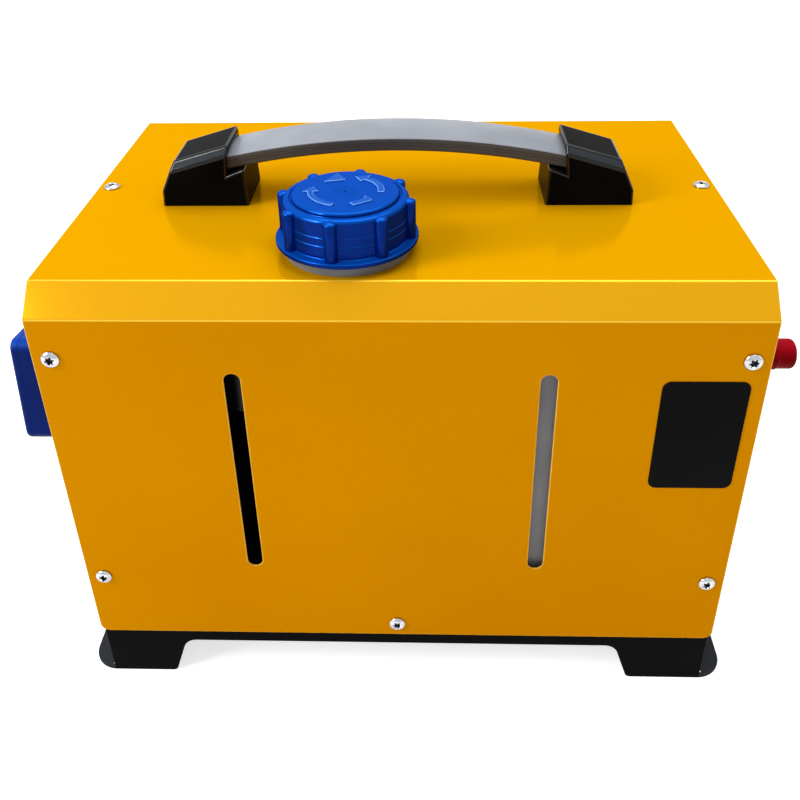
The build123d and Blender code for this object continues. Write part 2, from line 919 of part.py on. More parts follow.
def make_intake_guard():
    """Ring and bars in front of the hot-air fan."""
    left = core_left_x - guard_depth
    guard = tube_x(core_radius, core_radius - core_wall * 2, left, core_left_x, 0, 0)
    middle = core_radius / 2
    guard += tube_x(middle, middle - guard_bar, left, core_left_x, 0, 0)
    half = guard_bar / 2
    spoke = block(left, core_left_x, -half, half, middle - guard_bar, core_bore)
    return at_core(joined(guard, ring_of(spoke, guard_spokes)))


def make_outlet_hood():
    """Reducer from the jacket down to the duct bore."""
    wide = core_radius
    narrow = duct_radius
    end = panel_back_x - fit_gap
    wall = duct_wall
    profile = make_face(
        Polyline(
            (core_right_x, wide),
            (core_right_x + hood_collar, wide),
            (hood_neck_x, narrow),
            (end, narrow),
            (end, narrow - wall),
            (hood_neck_x, narrow - wall),
            (core_right_x + hood_collar, wide - wall),
            (core_right_x, wide - wall),
            close=True,
        )
    )
    return at_core(revolve(Plane.XZ * profile, Axis.X))


def duct_screw_places():
    """Places (y, z) of the four screws of the duct ring."""
    return [
        (core_y + duct_screw_circle * cos(radians(turn)), core_z + duct_screw_circle * sin(radians(turn)))
        for turn in range(45, 360, 90)
    ]


def make_duct_ring():
    """Flanged spigot that the hot-air hose slides over, with its finger guard."""
    flange_end = panel_face_x + duct_flange
    bore = duct_radius - duct_wall
    ring = rod_x(duct_flange_radius, panel_face_x, flange_end, 0, 0)
    ring += rod_x(duct_radius, panel_face_x, end_x + duct_length, 0, 0)
    ring -= rod_x(bore, panel_face_x - 1, end_x + duct_length + 1, 0, 0)
    middle = bore / 2
    ring += tube_x(middle, middle - guard_bar, panel_face_x, flange_end, 0, 0)
    spoke = block(
        panel_face_x, flange_end, -guard_bar / 2, guard_bar / 2, middle - guard_bar / 2, bore + guard_bar / 2
    )
    ring = at_core(joined(ring, ring_of(spoke, guard_spokes)))
    hole = screw_radius + bolt_gap
    return cut(ring, [rod_x(hole, panel_face_x - 1, flange_end + 1, y, z) for y, z in duct_screw_places()])


def make_duct_screws():
    """Four screws through the duct ring."""
    flange_end = panel_face_x + duct_flange
    screw = domed_screw(screw_radius, screw_length, duct_screw_head_radius, screw_head_height)
    return [Pos(flange_end, y, z) * Rot(0, 90, 0) * screw for y, z in duct_screw_places()]


def make_rotor_shaft():
    """Motor shaft that carries both fans."""
    return at_core(rod_x(shaft_radius, shaft_left_x, shaft_right_x, 0, 0))


def make_hot_air_fan():
    """Plastic fan with twisted blades on a tapered hub."""
    left = fan_x - fan_width / 2
    right = fan_x + fan_width / 2
    hub_profile = make_face(
        Polyline(
            (left, 0),
            (left, fan_nose_radius),
            (left + fan_nose, fan_hub_radius),
            (right, fan_hub_radius),
            (right, 0),
            close=True,
        )
    )
    hub = revolve(Plane.XZ * hub_profile, Axis.X)
    sections = []
    for radius, pitch in ((fan_hub_radius - fan_root, fan_root_pitch), (fan_radius, fan_tip_pitch)):
        chord = (fan_width - fan_nose) / cos(radians(fan_root_pitch)) * fan_blade_share
        direction = (cos(radians(pitch)), sin(radians(pitch)), 0)
        place = Plane((fan_x + fan_blade_shift, 0, radius), x_dir=direction, z_dir=(0, 0, 1))
        sections.append(place * Rectangle(chord, fan_blade))
    blade = loft(sections, ruled=True)
    fan = joined(hub, ring_of(blade, fan_blades))
    return at_core(fan - rod_x(shaft_radius + press_gap, left - 1, right + 1, 0, 0))


def make_motor():
    """Fan motor; the shaft runs through it."""
    body = rod_x(motor_radius, motor_left_x, motor_right_x, 0, 0)
    body = chamfer(body.edges(), motor_edge)
    body += rod_x(motor_collar_radius, motor_left_x - motor_collar, motor_left_x, 0, 0)
    bore = shaft_radius + running_gap
    return at_core(body - rod_x(bore, motor_left_x - motor_collar - 1, motor_right_x + 1, 0, 0))


def make_blower_housing():
    """Cast housing of the combustion-air fan, with a boss for the motor and four lugs."""
    body = rod_x(blower_radius, blower_left_x, blower_right_x, 0, 0)
    body += rod_x(blower_boss_radius, motor_right_x, blower_left_x, 0, 0)
    reach = core_bore - fit_gap
    half = blower_lug / 2
    lug_left_x = blower_left_x + blower_lug_inset
    lug_right_x = blower_right_x - blower_lug_inset
    lug = block(lug_left_x, lug_right_x, -half, half, blower_radius - blower_wall, reach)
    body = joined(body, ring_of(Rot(180 / blower_lugs, 0, 0) * lug, blower_lugs))
    chamber = wheel_radius + wheel_tip_gap
    body -= rod_x(chamber, blower_left_x + blower_wall, blower_right_x + 1, 0, 0)
    return at_core(body - rod_x(shaft_radius + fit_gap, motor_right_x - 1, blower_right_x, 0, 0))


def make_combustion_wheel():
    """Small radial wheel that feeds the burner with air."""
    left = blower_left_x + blower_wall + wheel_gap
    wheel = rod_x(wheel_radius, left, left + wheel_plate, 0, 0)
    wheel += rod_x(wheel_hub_radius, left, left + wheel_width, 0, 0)
    half = wheel_vane / 2
    low = wheel_hub_radius + wheel_vane_root
    vane = block(left + wheel_plate / 2, left + wheel_width, -half, half, low, wheel_radius - wheel_vane)
    swept = Pos(0, 0, wheel_vane_pivot) * Rot(wheel_vane_sweep, 0, 0) * Pos(0, 0, -wheel_vane_pivot) * vane
    wheel = joined(wheel, ring_of(swept, wheel_vanes))
    return at_core(wheel - rod_x(shaft_radius + press_gap, left - 1, left + wheel_width + 1, 0, 0))


def make_burner():
    """Burner head with its flame tube."""
    head = rod_x(burner_head_radius, blower_right_x, burner_head_right_x, 0, 0)
    tube = rod_x(burner_radius, burner_head_right_x, burner_right_x, 0, 0)
    bore = burner_radius - burner_wall
    burner = head + tube - rod_x(bore, blower_right_x + burner_head_plate, burner_right_x + 1, 0, 0)
    port = rod_z(burner_hole_radius, bore - 1, burner_radius + 1, 0, 0)
    for row in range(burner_hole_rows):
        x = burner_hole_x + row * burner_hole_pitch
        burner = cut(burner, [Pos(x, 0, 0) * hole for hole in ring_of(port, burner_holes)])
    pocket = rod_z(glow_radius + bolt_gap, glow_tip, burner_head_radius + 1, glow_x, 0)
    return at_core(burner - pocket)


def make_heat_exchanger():
    """Finned aluminium casting round the flame tube, with the foot that bolts down."""
    left = burner_head_right_x
    body = rod_x(exchanger_radius, left, exchanger_right_x, 0, 0)
    fin = block(
        left + exchanger_fin_inset,
        exchanger_right_x - exchanger_wall,
        -exchanger_fin / 2,
        exchanger_fin / 2,
        exchanger_radius - 1,
        exchanger_fin_radius,
    )
    body = joined(body, ring_of(fin, exchanger_fins))
    foot_z = core_bottom_z - core_z
    half_length = exchanger_foot_length / 2
    half_depth = exchanger_foot_depth / 2
    foot = block(-half_length, half_length, -half_depth, half_depth, foot_z, 0)
    body += fillet(foot.edges().filter_by(Axis.Z), exchanger_foot_corner)
    chamber = exchanger_radius - exchanger_wall
    body -= rod_x(chamber, left - 1, exchanger_right_x - exchanger_end_wall, 0, 0)
    body = at_core(body)
    for x in (-pipe_x, pipe_x):
        body -= rod_z(pipe_root_radius + bolt_gap, core_bottom_z - 1, core_bottom_z + pipe_insert, x, core_y)
        body -= rod_z(pipe_radius - pipe_wall, core_bottom_z, core_z - chamber + exchanger_wall, x, core_y)
    for x, y in stud_places():
        body -= rod_z(stud_radius + bolt_gap, core_bottom_z - 1, core_bottom_z + stud_insert, x, y)
    return body


def make_core_gasket():
    """Gasket between the exchanger's foot and the deck."""
    half_length = exchanger_foot_length / 2
    half_depth = exchanger_foot_depth / 2
    sheet = block(
        -half_length, half_length, core_y - half_depth, core_y + half_depth, deck_height, core_bottom_z
    )
    sheet = fillet(sheet.edges().filter_by(Axis.Z), exchanger_foot_corner)
    holes = [rod_z(pipe_root_radius + fit_gap, 0, case_height, x, core_y) for x in (-pipe_x, pipe_x)]
    holes += [rod_z(stud_radius + bolt_gap, 0, case_height, x, y) for x, y in stud_places()]
    return cut(sheet, holes)


def make_core_studs():
    """Four studs from the exchanger's foot through the deck."""
    top = core_bottom_z + stud_insert
    bottom = deck_under_z - stud_tail
    return [rod_z(stud_radius, bottom, top, x, y) for x, y in stud_places()]


def make_core_nuts():
    """Four nuts under the deck."""
    nut = hex_prism(nut_width, nut_height) - rod_z(stud_radius + bolt_gap, -1, nut_height + 1, 0, 0)
    return [Pos(x, y, deck_under_z - nut_height) * nut for x, y in stud_places()]


def make_pipe(x):
    """A steel stub under the deck that a clamped pipe slides over, with a thicker root."""
    top = core_bottom_z + pipe_insert
    stub = rod_z(pipe_radius, pipe_bottom_z, top, x, core_y)
    stub += rod_z(pipe_root_radius, deck_under_z - pipe_root_drop, top, x, core_y)
    return stub - rod_z(pipe_radius - pipe_wall, pipe_bottom_z - 1, top + 1, x, core_y)


def make_exhaust_pipe():
    """Exhaust stub."""
    return make_pipe(pipe_x)


def make_air_pipe():
    """Combustion-air stub."""
    return make_pipe(-pipe_x)


def make_glow_plug():
    """Glow plug screwed into the burner head from above."""
    plug = rod_z(glow_radius, glow_tip + 1, glow_hex_rise, 0, 0)
    plug += Pos(0, 0, glow_hex_rise) * hex_prism(glow_hex_width, glow_hex_height)
    plug += rod_z(glow_terminal_radius, glow_hex_rise, glow_top, 0, 0)
    return at_core(Pos(glow_x, 0, 0) * plug)


def make_control_unit():
    """Electronic control box that sits on the motor under the upper jacket."""
    middle = (motor_left_x + motor_right_x) / 2
    half_length = control_unit_length / 2
    half_depth = control_unit_depth / 2
    unit = block(middle - half_length, middle + half_length, -half_depth, half_depth, 0, control_unit_top)
    unit = fillet(unit.edges().filter_by(Axis.X).group_by(Axis.Z)[-1], control_unit_corner)
    return at_core(unit - rod_x(motor_radius + fit_gap, motor_left_x, motor_right_x, 0, 0))


# ---- fuel pump, filter and lines ----------------------------------------------


def make_fuel_pump():
    """Metering pump: steel barrel with a nipple at each end."""
    pump = rod_z(pump_radius, pump_bottom_z, pump_top_z, pump_x, pump_y)
    pump = fillet(pump.edges().filter_by(GeomType.CIRCLE), pump_edge)
    lower = pump_bottom_z - pump_end_length
    upper = pump_top_z + pump_end_length
    pump += rod_z(pump_end_radius, lower, upper, pump_x, pump_y)
    return pump + rod_z(nipple_radius, lower - nipple_length, upper + nipple_length, pump_x, pump_y)


def make_pump_clamp():
    """Rubber sleeve round the pump, with the lug that meets the bracket."""
    outer = pump_radius + clamp_wall
    low = clamp_z - clamp_height / 2
    high = clamp_z + clamp_height / 2
    clamp = rod_z(outer, low, high, pump_x, pump_y)
    lug = clamp_lug / 2
    clamp += block(pump_x - lug, pump_x + lug, bracket_y + bracket_wall, pump_y, low, high)
    return clamp - rod_z(pump_radius + press_gap, low - 1, high + 1, pump_x, pump_y)


def make_pump_bracket():
    """Bent plate on the deck that carries the pump; its wide head stands behind the left window."""
    half = bracket_width / 2
    outline = FilletPolyline(
        (pump_x - half, deck_height),
        (pump_x + half, deck_height),
        (pump_x + half, bracket_plate_bottom_z),
        (bracket_plate_right_x, bracket_plate_bottom_z),
        (bracket_plate_right_x, bracket_plate_top_z),
        (bracket_plate_left_x, bracket_plate_top_z),
        (bracket_plate_left_x, bracket_plate_bottom_z),
        (pump_x - half, bracket_plate_bottom_z),
        radius=[0, bracket_wall, bracket_corner, bracket_corner, bracket_corner, bracket_corner],
    )
    upright = make_face(outline + Line((pump_x - half, bracket_plate_bottom_z), (pump_x - half, deck_height)))
    place = Plane((0, bracket_y + bracket_wall, 0), x_dir=(1, 0, 0), z_dir=(0, -1, 0))
    plate = extrude(place * upright, bracket_wall)
    foot_y = bracket_y + bracket_foot
    plate += block(pump_x - half, pump_x + half, bracket_y, foot_y, deck_height, deck_height + bracket_wall)
    return plate


def make_fuel_filter():
    """Clear in-line filter with its bracket clip."""
    body = rod_z(filter_radius, filter_bottom_z, filter_top_z, filter_x, filter_y)
    body = fillet(body.edges().filter_by(GeomType.CIRCLE), filter_edge)
    return body + rod_z(
        nipple_radius, filter_bottom_z - nipple_length, filter_top_z + nipple_length, filter_x, filter_y
    )


def make_filter_clip():
    """Spring clip that holds the filter to the pump's sleeve."""
    outer = filter_radius + filter_clip
    low = clamp_z - clamp_height / 4
    high = clamp_z + clamp_height / 4
    clip = rod_z(outer, low, high, filter_x, filter_y)
    reach = pump_x - pump_radius - clamp_wall
    arm = filter_clip_arm / 2
    clip += block(filter_x, reach, filter_y - arm, filter_y + arm, low, high)
    return clip - rod_z(filter_radius + press_gap, low - 1, high + 1, filter_x, filter_y)


def fuel_line(points, bends):
    """A fuel hose along straight runs joined by tangent arcs."""
    path = FilletPolyline(*points, radius=bends)
    direction = (Vector(*points[1]) - Vector(*points[0])).normalized()
    section = Plane(points[0], z_dir=direction) * Circle(line_radius)
    return sweep(section, path)


def make_tank_line():
    """Hose from the tank's outlet to the foot of the filter."""
    start_x = tank_left_x - outlet_barb_length
    end_z = filter_bottom_z - nipple_length
    low_z = deck_height + line_clearance
    points = [
        (start_x, outlet_barb_y, outlet_barb_z),
        (start_x - line_bend, outlet_barb_y, outlet_barb_z),
        (filter_x + line_bend, filter_y, low_z),
        (filter_x, filter_y, low_z),
        (filter_x, filter_y, end_z),
    ]
    return fuel_line(points, [line_bend, line_bend, line_tight_bend])


def make_pump_line():
    """Hose from the head of the filter over to the foot of the pump."""
    start_z = filter_top_z + nipple_length
    end_z = pump_bottom_z - pump_end_length - nipple_length
    high_z = start_z + pump_line_rise
    low_z = end_z - pump_line_drop
    loop_x = (filter_x + pump_x) / 2
    loop_y = filter_y + pump_line_loop
    points = [
        (filter_x, filter_y, start_z),
        (filter_x, filter_y, high_z),
        (loop_x, loop_y, high_z),
        (loop_x, loop_y, low_z),
        (pump_x, pump_y, low_z),
        (pump_x, pump_y, end_z),
    ]
    return fuel_line(points, [line_loop_bend, line_loop_bend, line_tight_bend, line_tight_bend])


def make_burner_line():
    """Hose from the head of the pump to the burner head's jacket port."""
    start_z = pump_top_z + pump_end_length + nipple_length
    end_z = core_z + core_radius
    turn_y = core_y - burner_line_run
    points = [
        (pump_x, pump_y, start_z),
        (pump_x, pump_y, burner_line_z),
        (burner_line_x, turn_y, burner_line_z),
        (burner_line_x, core_y, burner_line_z),
        (burner_line_x, core_y, end_z),
    ]
    return fuel_line(points, [line_loop_bend, line_bend, line_drop_bend])


# ---- controller ---------------------------------------------------------------


def at_controller(shape):
    """Moves a shape made on the YZ plane (outwards is -X) to the controller's tilted place."""
    return Pos(0, controller_y, controller_z) * Rot(-controller_tilt, 0, 0) * shape


def controller_slab(inset, x0, x1):
    """A rounded slab of the controller's outline between two X places."""
    outline = Rectangle(controller_length - inset * 2, controller_height - inset * 2)
    outline = fillet(outline.vertices(), max(controller_corner - inset, controller_edge))
    place = Plane((x0, 0, 0), x_dir=(0, 1, 0), z_dir=(1, 0, 0))
    return extrude(place * outline, x1 - x0)


def make_controller_holder():
    """Flat plate that fixes the controller to the intake end."""
    slab = controller_slab(holder_border, holder_face_x, -panel_face_x)
    return at_controller(slab)


def make_controller_back():
    """Rear half of the controller's housing."""
    shell = controller_slab(0, controller_split_x, holder_face_x)
    back_edges = shell.faces().sort_by(Axis.X)[-1].edges()
    shell = fillet(back_edges, controller_edge / 2)
    shell -= controller_slab(controller_wall, controller_split_x - 1, holder_face_x - controller_wall)
    return at_controller(shell)


def button_places():
    """Places (y, z) of the four keys in the controller's own frame."""
    half = button_pitch / 2
    return [
        (button_offset + side * half, row * button_drop) for row in (1, -1) for side in (-1, 1)
    ]


def make_controller_front():
    """Front half of the housing, with the display opening and four key holes."""
    shell = controller_slab(0, controller_face_x, controller_split_x)
    front_edges = shell.faces().sort_by(Axis.X)[0].edges()
    shell = fillet(front_edges, controller_edge)
    shell -= controller_slab(controller_wall, controller_inner_x, controller_split_x + 1)
    window = block(
        controller_face_x - 1,
        controller_inner_x + 1,
        display_offset - display_length / 2,
        display_offset + display_length / 2,
        -display_height / 2,
        display_height / 2,
    )
    shell -= fillet(window.edges().filter_by(Axis.X), display_corner)
    hole = button_radius + fit_gap
    for y, z in button_places():
        shell -= rod_x(hole, controller_face_x - 1, controller_inner_x + 1, y, z)
    return at_controller(shell)


def make_controller_display():
    """Display pane seated in the front shell on a wider rim."""
    half_length = display_length / 2 - press_gap
    half_height = display_height / 2 - press_gap
    pane = block(
        controller_face_x + display_recess,
        controller_inner_x,
        display_offset - half_length,
        display_offset + half_length,
        -half_height,
        half_height,
    )
    pane = fillet(pane.edges().filter_by(Axis.X), display_corner - press_gap)
    rim = block(
        controller_inner_x,
        controller_inner_x + display_thickness,
        display_offset - half_length - display_rim,
        display_offset + half_length + display_rim,
        -half_height - display_rim,
        half_height + display_rim,
    )
    return at_controller(pane + rim)


def make_controller_board():
    """Circuit board with a small switch behind each key."""
    switch_x = controller_inner_x + button_rim + button_travel + fit_gap
    board_x = switch_x + switch_height
    slab = controller_slab(controller_wall + fit_gap, board_x, board_x + board_thickness)
    half = switch_width / 2
    switches = [
        block(switch_x, board_x, y - half, y + half, z - half, z + half) for y, z in button_places()
    ]
    post_y = controller_length / 2 - board_post_inset
    back_x = holder_face_x - controller_wall
    posts = [rod_x(board_post_radius, board_x, back_x, side * post_y, 0) for side in (-1, 1)]
    return at_controller(joined(slab, switches + posts))


def make_controller_button(y, z):
    """One round key with the rim that keeps it in the housing."""
    back_x = controller_inner_x + button_rim
    key = rod_x(button_radius, controller_face_x - button_proud, back_x, y, z)
    key = fillet(key.faces().sort_by(Axis.X)[0].edges(), button_edge)
    key += rod_x(button_rim_radius, controller_inner_x + fit_gap / 2, back_x, y, z)
    return at_controller(key)


# ---- power terminals ----------------------------------------------------------


def terminal_places():
    """Places y of the positive and the negative terminal."""
    return [terminal_y, terminal_y + terminal_spacing]


def make_terminal_post(y):
    """Brass stud with its clamping nut outside the panel."""
    inner_x = panel_back_x - terminal_inner_length
    outer_x = panel_face_x + terminal_outer_length
    post = rod_x(terminal_stud_radius, inner_x, outer_x, y, terminal_z)
    nut = Rot(0, 90, 0) * hex_prism(terminal_nut_width, terminal_nut_height)
    nut_x = panel_face_x + terminal_bush_height
    return post + Pos(nut_x, y, terminal_z) * nut


def make_terminal_bushes():
    """Insulating washers, outside and inside the panel, round each stud."""
    hole = terminal_stud_radius + press_gap
    bushes = []
    for y in terminal_places():
        outer_x = panel_face_x + terminal_bush_height
        inner_x = panel_back_x - terminal_bush_height
        bushes.append(tube_x(terminal_bush_radius, hole, panel_face_x, outer_x, y, terminal_z))
        bushes.append(tube_x(terminal_inner_bush_radius, hole, inner_x, panel_back_x, y, terminal_z))
    return bushes


def make_terminal_boot(y):
    """Soft cap that pulls off the terminal: a wide skirt and a rounded tip."""
    foot_x = panel_face_x + fit_gap
    step_x = panel_face_x + boot_step
    tip_x = panel_face_x + boot_length
    bore = boot_radius - boot_wall
    roof_x = tip_x - boot_roof
    outline = FilletPolyline(
        (foot_x, bore),
        (foot_x, boot_radius),
        (step_x, boot_radius),
        (step_x + boot_slope, boot_tip_radius),
        (tip_x, boot_tip_radius),
        (tip_x, 0),
        radius=[boot_edge, boot_edge, boot_edge, boot_round],
    )
    inside = Polyline((tip_x, 0), (roof_x, 0), (roof_x, bore), (foot_x, bore))
    boot = revolve(Plane.XZ * make_face(outline + inside), Axis.X)
    return Pos(0, y, terminal_z) * boot


# ---- all the pieces -----------------------------------------------------------

nodes = {
    "cover": make_cover(),
    "end_panel_left": make_end_panel_left(),
    "end_panel_right": make_end_panel_right(),
    "base_tray": make_base_tray(),
    "front_screws": make_front_screws(),
    "back_screws": make_back_screws(),
    "top_screws": make_top_screws(),
    "handle_grip": make_handle_grip(),
    "handle_cap_left": make_handle_cap(-1),
    "handle_cap_right": make_handle_cap(1),
    "handle_screws": make_handle_screws(),
    "fuel_tank": make_fuel_tank(),
    "tank_pads": make_tank_pads(),
    "tank_outlet": make_tank_outlet(),
    "neck_ring": make_neck_ring(),
    "fuel_cap": make_fuel_cap(),
    "cap_seal": make_cap_seal(),
    "core_lower_shell": make_core_lower_shell(),
    "core_upper_shell": make_core_upper_shell(),
    "intake_guard": make_intake_guard(),
    "outlet_hood": make_outlet_hood(),
    "duct_ring": make_duct_ring(),
    "duct_screws": make_duct_screws(),
    "rotor_shaft": make_rotor_shaft(),
    "hot_air_fan": make_hot_air_fan(),
    "motor": make_motor(),
    "blower_housing": make_blower_housing(),
    "combustion_wheel": make_combustion_wheel(),
    "burner": make_burner(),
    "heat_exchanger": make_heat_exchanger(),
    "core_gasket": make_core_gasket(),
    "core_studs": make_core_studs(),
    "core_nuts": make_core_nuts(),
    "exhaust_pipe": make_exhaust_pipe(),
    "combustion_air_pipe": make_air_pipe(),
    "glow_plug": make_glow_plug(),
    "control_unit": make_control_unit(),
    "fuel_pump": make_fuel_pump(),
    "pump_clamp": make_pump_clamp(),
    "pump_bracket": make_pump_bracket(),
    "fuel_filter": make_fuel_filter(),
    "filter_clip": make_filter_clip(),
    "tank_line": make_tank_line(),
    "pump_line": make_pump_line(),
    "burner_line": make_burner_line(),
    "controller_holder": make_controller_holder(),
    "controller_back": make_controller_back(),
    "controller_front": make_controller_front(),
    "controller_display": make_controller_display(),
    "controller_board": make_controller_board(),
    "terminal_post_positive": make_terminal_post(terminal_places()[0]),
    "terminal_post_negative": make_terminal_post(terminal_places()[1]),
    "terminal_bushes": make_terminal_bushes(),
    "terminal_boot_red": make_terminal_boot(terminal_places()[0]),
    "terminal_boot_black": make_terminal_boot(terminal_places()[1]),
}
for number, (y, z) in enumerate(button_places(), start=1):
    nodes[f"controller_button_{number}"] = make_controller_button(y, z)

os.makedirs("parts", exist_ok=True)
for name, piece in nodes.items():
    solids = piece if isinstance(piece, list) else [piece]
    export_step(Compound(children=[Compound(solid.solids()) for solid in solids]), f"parts/{name}.step")
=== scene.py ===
import json
from math import cos, pi, radians, sin, sqrt

import bmesh
import bpy
from mathutils import Matrix, Vector

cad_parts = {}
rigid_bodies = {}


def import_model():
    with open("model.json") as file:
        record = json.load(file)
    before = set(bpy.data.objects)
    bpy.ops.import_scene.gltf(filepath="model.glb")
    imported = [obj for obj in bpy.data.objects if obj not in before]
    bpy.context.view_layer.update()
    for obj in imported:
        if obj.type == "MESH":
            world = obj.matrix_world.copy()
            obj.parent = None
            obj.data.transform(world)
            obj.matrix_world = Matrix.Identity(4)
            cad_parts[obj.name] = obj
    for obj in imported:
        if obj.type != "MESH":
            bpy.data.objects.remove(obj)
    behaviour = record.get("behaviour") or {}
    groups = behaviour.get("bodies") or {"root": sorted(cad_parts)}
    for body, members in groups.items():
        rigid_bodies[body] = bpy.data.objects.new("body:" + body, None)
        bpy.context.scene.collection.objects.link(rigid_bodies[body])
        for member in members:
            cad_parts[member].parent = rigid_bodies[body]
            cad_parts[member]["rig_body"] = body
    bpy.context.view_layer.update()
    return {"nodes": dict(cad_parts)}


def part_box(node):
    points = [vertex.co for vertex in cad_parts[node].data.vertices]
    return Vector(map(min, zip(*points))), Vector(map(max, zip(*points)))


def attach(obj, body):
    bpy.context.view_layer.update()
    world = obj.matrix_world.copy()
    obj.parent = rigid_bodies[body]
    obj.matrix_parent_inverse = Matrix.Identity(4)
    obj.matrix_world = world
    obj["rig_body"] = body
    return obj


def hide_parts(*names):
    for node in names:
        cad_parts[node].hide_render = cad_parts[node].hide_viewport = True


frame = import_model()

scene = bpy.context.scene
nodes = frame["nodes"]


# ---- Viewpoint ----------------------------------------------------------------
# The camera looks down at the heater's front from a little to the right of its
# middle, with the axis of the lens above the middle of the picture.

frame_width = 800
focal_length = 926.2
lens_axis_x = 400.3
lens_axis_y = 303.2
camera_place = Vector((0.0180, -0.5358, 0.5154))
camera_yaw = radians(-2.279)
camera_pitch = radians(30.336)
camera_roll = radians(-1.064)

forward = Vector((
    sin(camera_yaw) * cos(camera_pitch),
    cos(camera_yaw) * cos(camera_pitch),
    -sin(camera_pitch),
))
level_right = Vector((cos(camera_yaw), -sin(camera_yaw), 0))
level_up = level_right.cross(forward)
camera_right = level_right * cos(camera_roll) + level_up * sin(camera_roll)
camera_up = level_up * cos(camera_roll) - level_right * sin(camera_roll)

camera_data = bpy.data.cameras.new("viewpoint")
camera_data.sensor_width = 36.0
camera_data.lens = focal_length / frame_width * camera_data.sensor_width
camera_data.shift_x = (frame_width / 2 - lens_axis_x) / frame_width
camera_data.shift_y = (lens_axis_y - frame_width / 2) / frame_width
camera = bpy.data.objects.new("viewpoint", camera_data)
camera.rotation_mode = "QUATERNION"
camera.rotation_quaternion = Matrix((camera_right, camera_up, -forward)).transposed().to_quaternion()
camera.location = camera_place
scene.collection.objects.link(camera)
scene.camera = camera
scene.view_settings.view_transform = "Standard"


# ---- Floor, backdrop and light --------------------------------------------------
# A plain white floor that runs out of sight, a white surround, a large softbox
# overhead, a tall one on the left, a weak one on the right and a thin strip for glints.

floor_half = 6.0
floor_white = (0.86, 0.86, 0.86, 1)
floor_lift = 0.70
surround_strength = 0.39
heater_middle = Vector((0, 0, 0.15))


def feed(tree, socket, value):
    """Links a socket to another one, or sets it."""
    if isinstance(value, bpy.types.NodeSocket):
        tree.links.new(value, socket)
    else:
        socket.default_value = value


def arithmetic(tree, operation, *values):
    """One step of arithmetic."""
    node = tree.nodes.new("ShaderNodeMath")
    node.operation = operation
    for socket, value in zip(node.inputs, values):
        feed(tree, socket, value)
    return node.outputs[0]


def spread(tree, value, low, high, start=0.35, stop=0.65):
    """Stretches a value, such as that of a pattern, between two others."""
    stretch = tree.nodes.new("ShaderNodeMapRange")
    for name, number in (("From Min", start), ("From Max", stop), ("To Min", low), ("To Max", high)):
        stretch.inputs[name].default_value = number
    tree.links.new(value, stretch.inputs["Value"])
    return stretch.outputs[0]


def seen_by_eye(tree):
    """1 for rays that look straight, by mirror or through glass at a surface, and 0 for others."""
    path = tree.nodes.new("ShaderNodeLightPath").outputs
    first = arithmetic(tree, "MAXIMUM", path["Is Camera Ray"], path["Is Glossy Ray"])
    return arithmetic(tree, "MAXIMUM", first, path["Is Transmission Ray"])


def shader_of(material):
    """The shader of a finish."""
    return material.node_tree.nodes["Principled BSDF"]


def adjust(material, settings):
    """Sets the shader's own sockets by name."""
    for socket, value in settings.items():
        shader_of(material).inputs[socket].default_value = value


def new_finish(name, settings):
    """A finish with only its shader's own sockets set."""
    material = bpy.data.materials.new(name)
    material.use_nodes = True
    adjust(material, settings)
    return material


def floor_finish():
    """Matt white sheet, lifted to white where it is seen, with the heater's shadow left on it."""
    material = new_finish("floor_white", {
        "Base Color": floor_white, "Roughness": 0.9, "Specular IOR Level": 0.1,
        "Emission Color": (1, 1, 1, 1),
    })
    tree = material.node_tree
    lift = spread(tree, seen_by_eye(tree), 0, floor_lift, start=0, stop=1)
    tree.links.new(lift, shader_of(material).inputs["Emission Strength"])
    return material


def light_surround():
    """White where it is seen, and softer as a light."""
    world = bpy.data.worlds.new("surround")
    world.use_nodes = True
    tree = world.node_tree
    shade = tree.nodes["Background"]
    shade.inputs["Color"].default_value = (1, 1, 1, 1)
    level = spread(tree, seen_by_eye(tree), surround_strength, 1, start=0, stop=1)
    tree.links.new(level, shade.inputs["Strength"])
    scene.world = world


def smooth(mesh, sharp):
    """Makes a mesh smooth but for the edges past an angle in degrees."""
    mesh.shade_smooth()
    mesh.set_sharp_from_angle(angle=radians(sharp))


def as_piece(name, shape, *finishes, sharp=None):
    """Turns a bmesh into a piece with its finishes."""
    mesh = bpy.data.meshes.new(name)
    shape.to_mesh(mesh)
    shape.free()
    for finish in finishes:
        mesh.materials.append(finish)
    if sharp:
        smooth(mesh, sharp)
    piece = bpy.data.objects.new(name, mesh)
    scene.collection.objects.link(piece)
    return piece


def softbox(name, place, size, power, only_gloss=False):
    """A rectangular lamp that faces the heater. It may show in glossy surfaces alone."""
    lamp = bpy.data.lights.new(name, "AREA")
    lamp.shape = "RECTANGLE"
    lamp.size, lamp.size_y = size
    lamp.energy = power
    stand = bpy.data.objects.new(name, lamp)
    stand.location = place
    stand.rotation_mode = "QUATERNION"
    stand.rotation_quaternion = (heater_middle - Vector(place)).to_track_quat("-Z", "Y")
    stand.visible_diffuse = not only_gloss
    scene.collection.objects.link(stand)


floor_shape = bmesh.new()
floor_shape.faces.new([
    floor_shape.verts.new((x * floor_half, y * floor_half, 0))
    for x, y in ((-1, -1), (1, -1), (1, 1), (-1, 1))
])
as_piece("floor", floor_shape, floor_finish())
light_surround()
softbox("overhead_softbox", place=(0.1, 0.25, 1.7), size=(1.5, 1.2), power=17.0)
softbox("left_softbox", place=(-1.5, -0.75, 1.25), size=(0.7, 1.2), power=25.0)
softbox("left_strip", place=(-0.9, -0.75, 0.95), size=(0.12, 0.6), power=10.0, only_gloss=True)
softbox("right_softbox", place=(1.6, -0.5, 0.9), size=(0.5, 1.0), power=1.5)
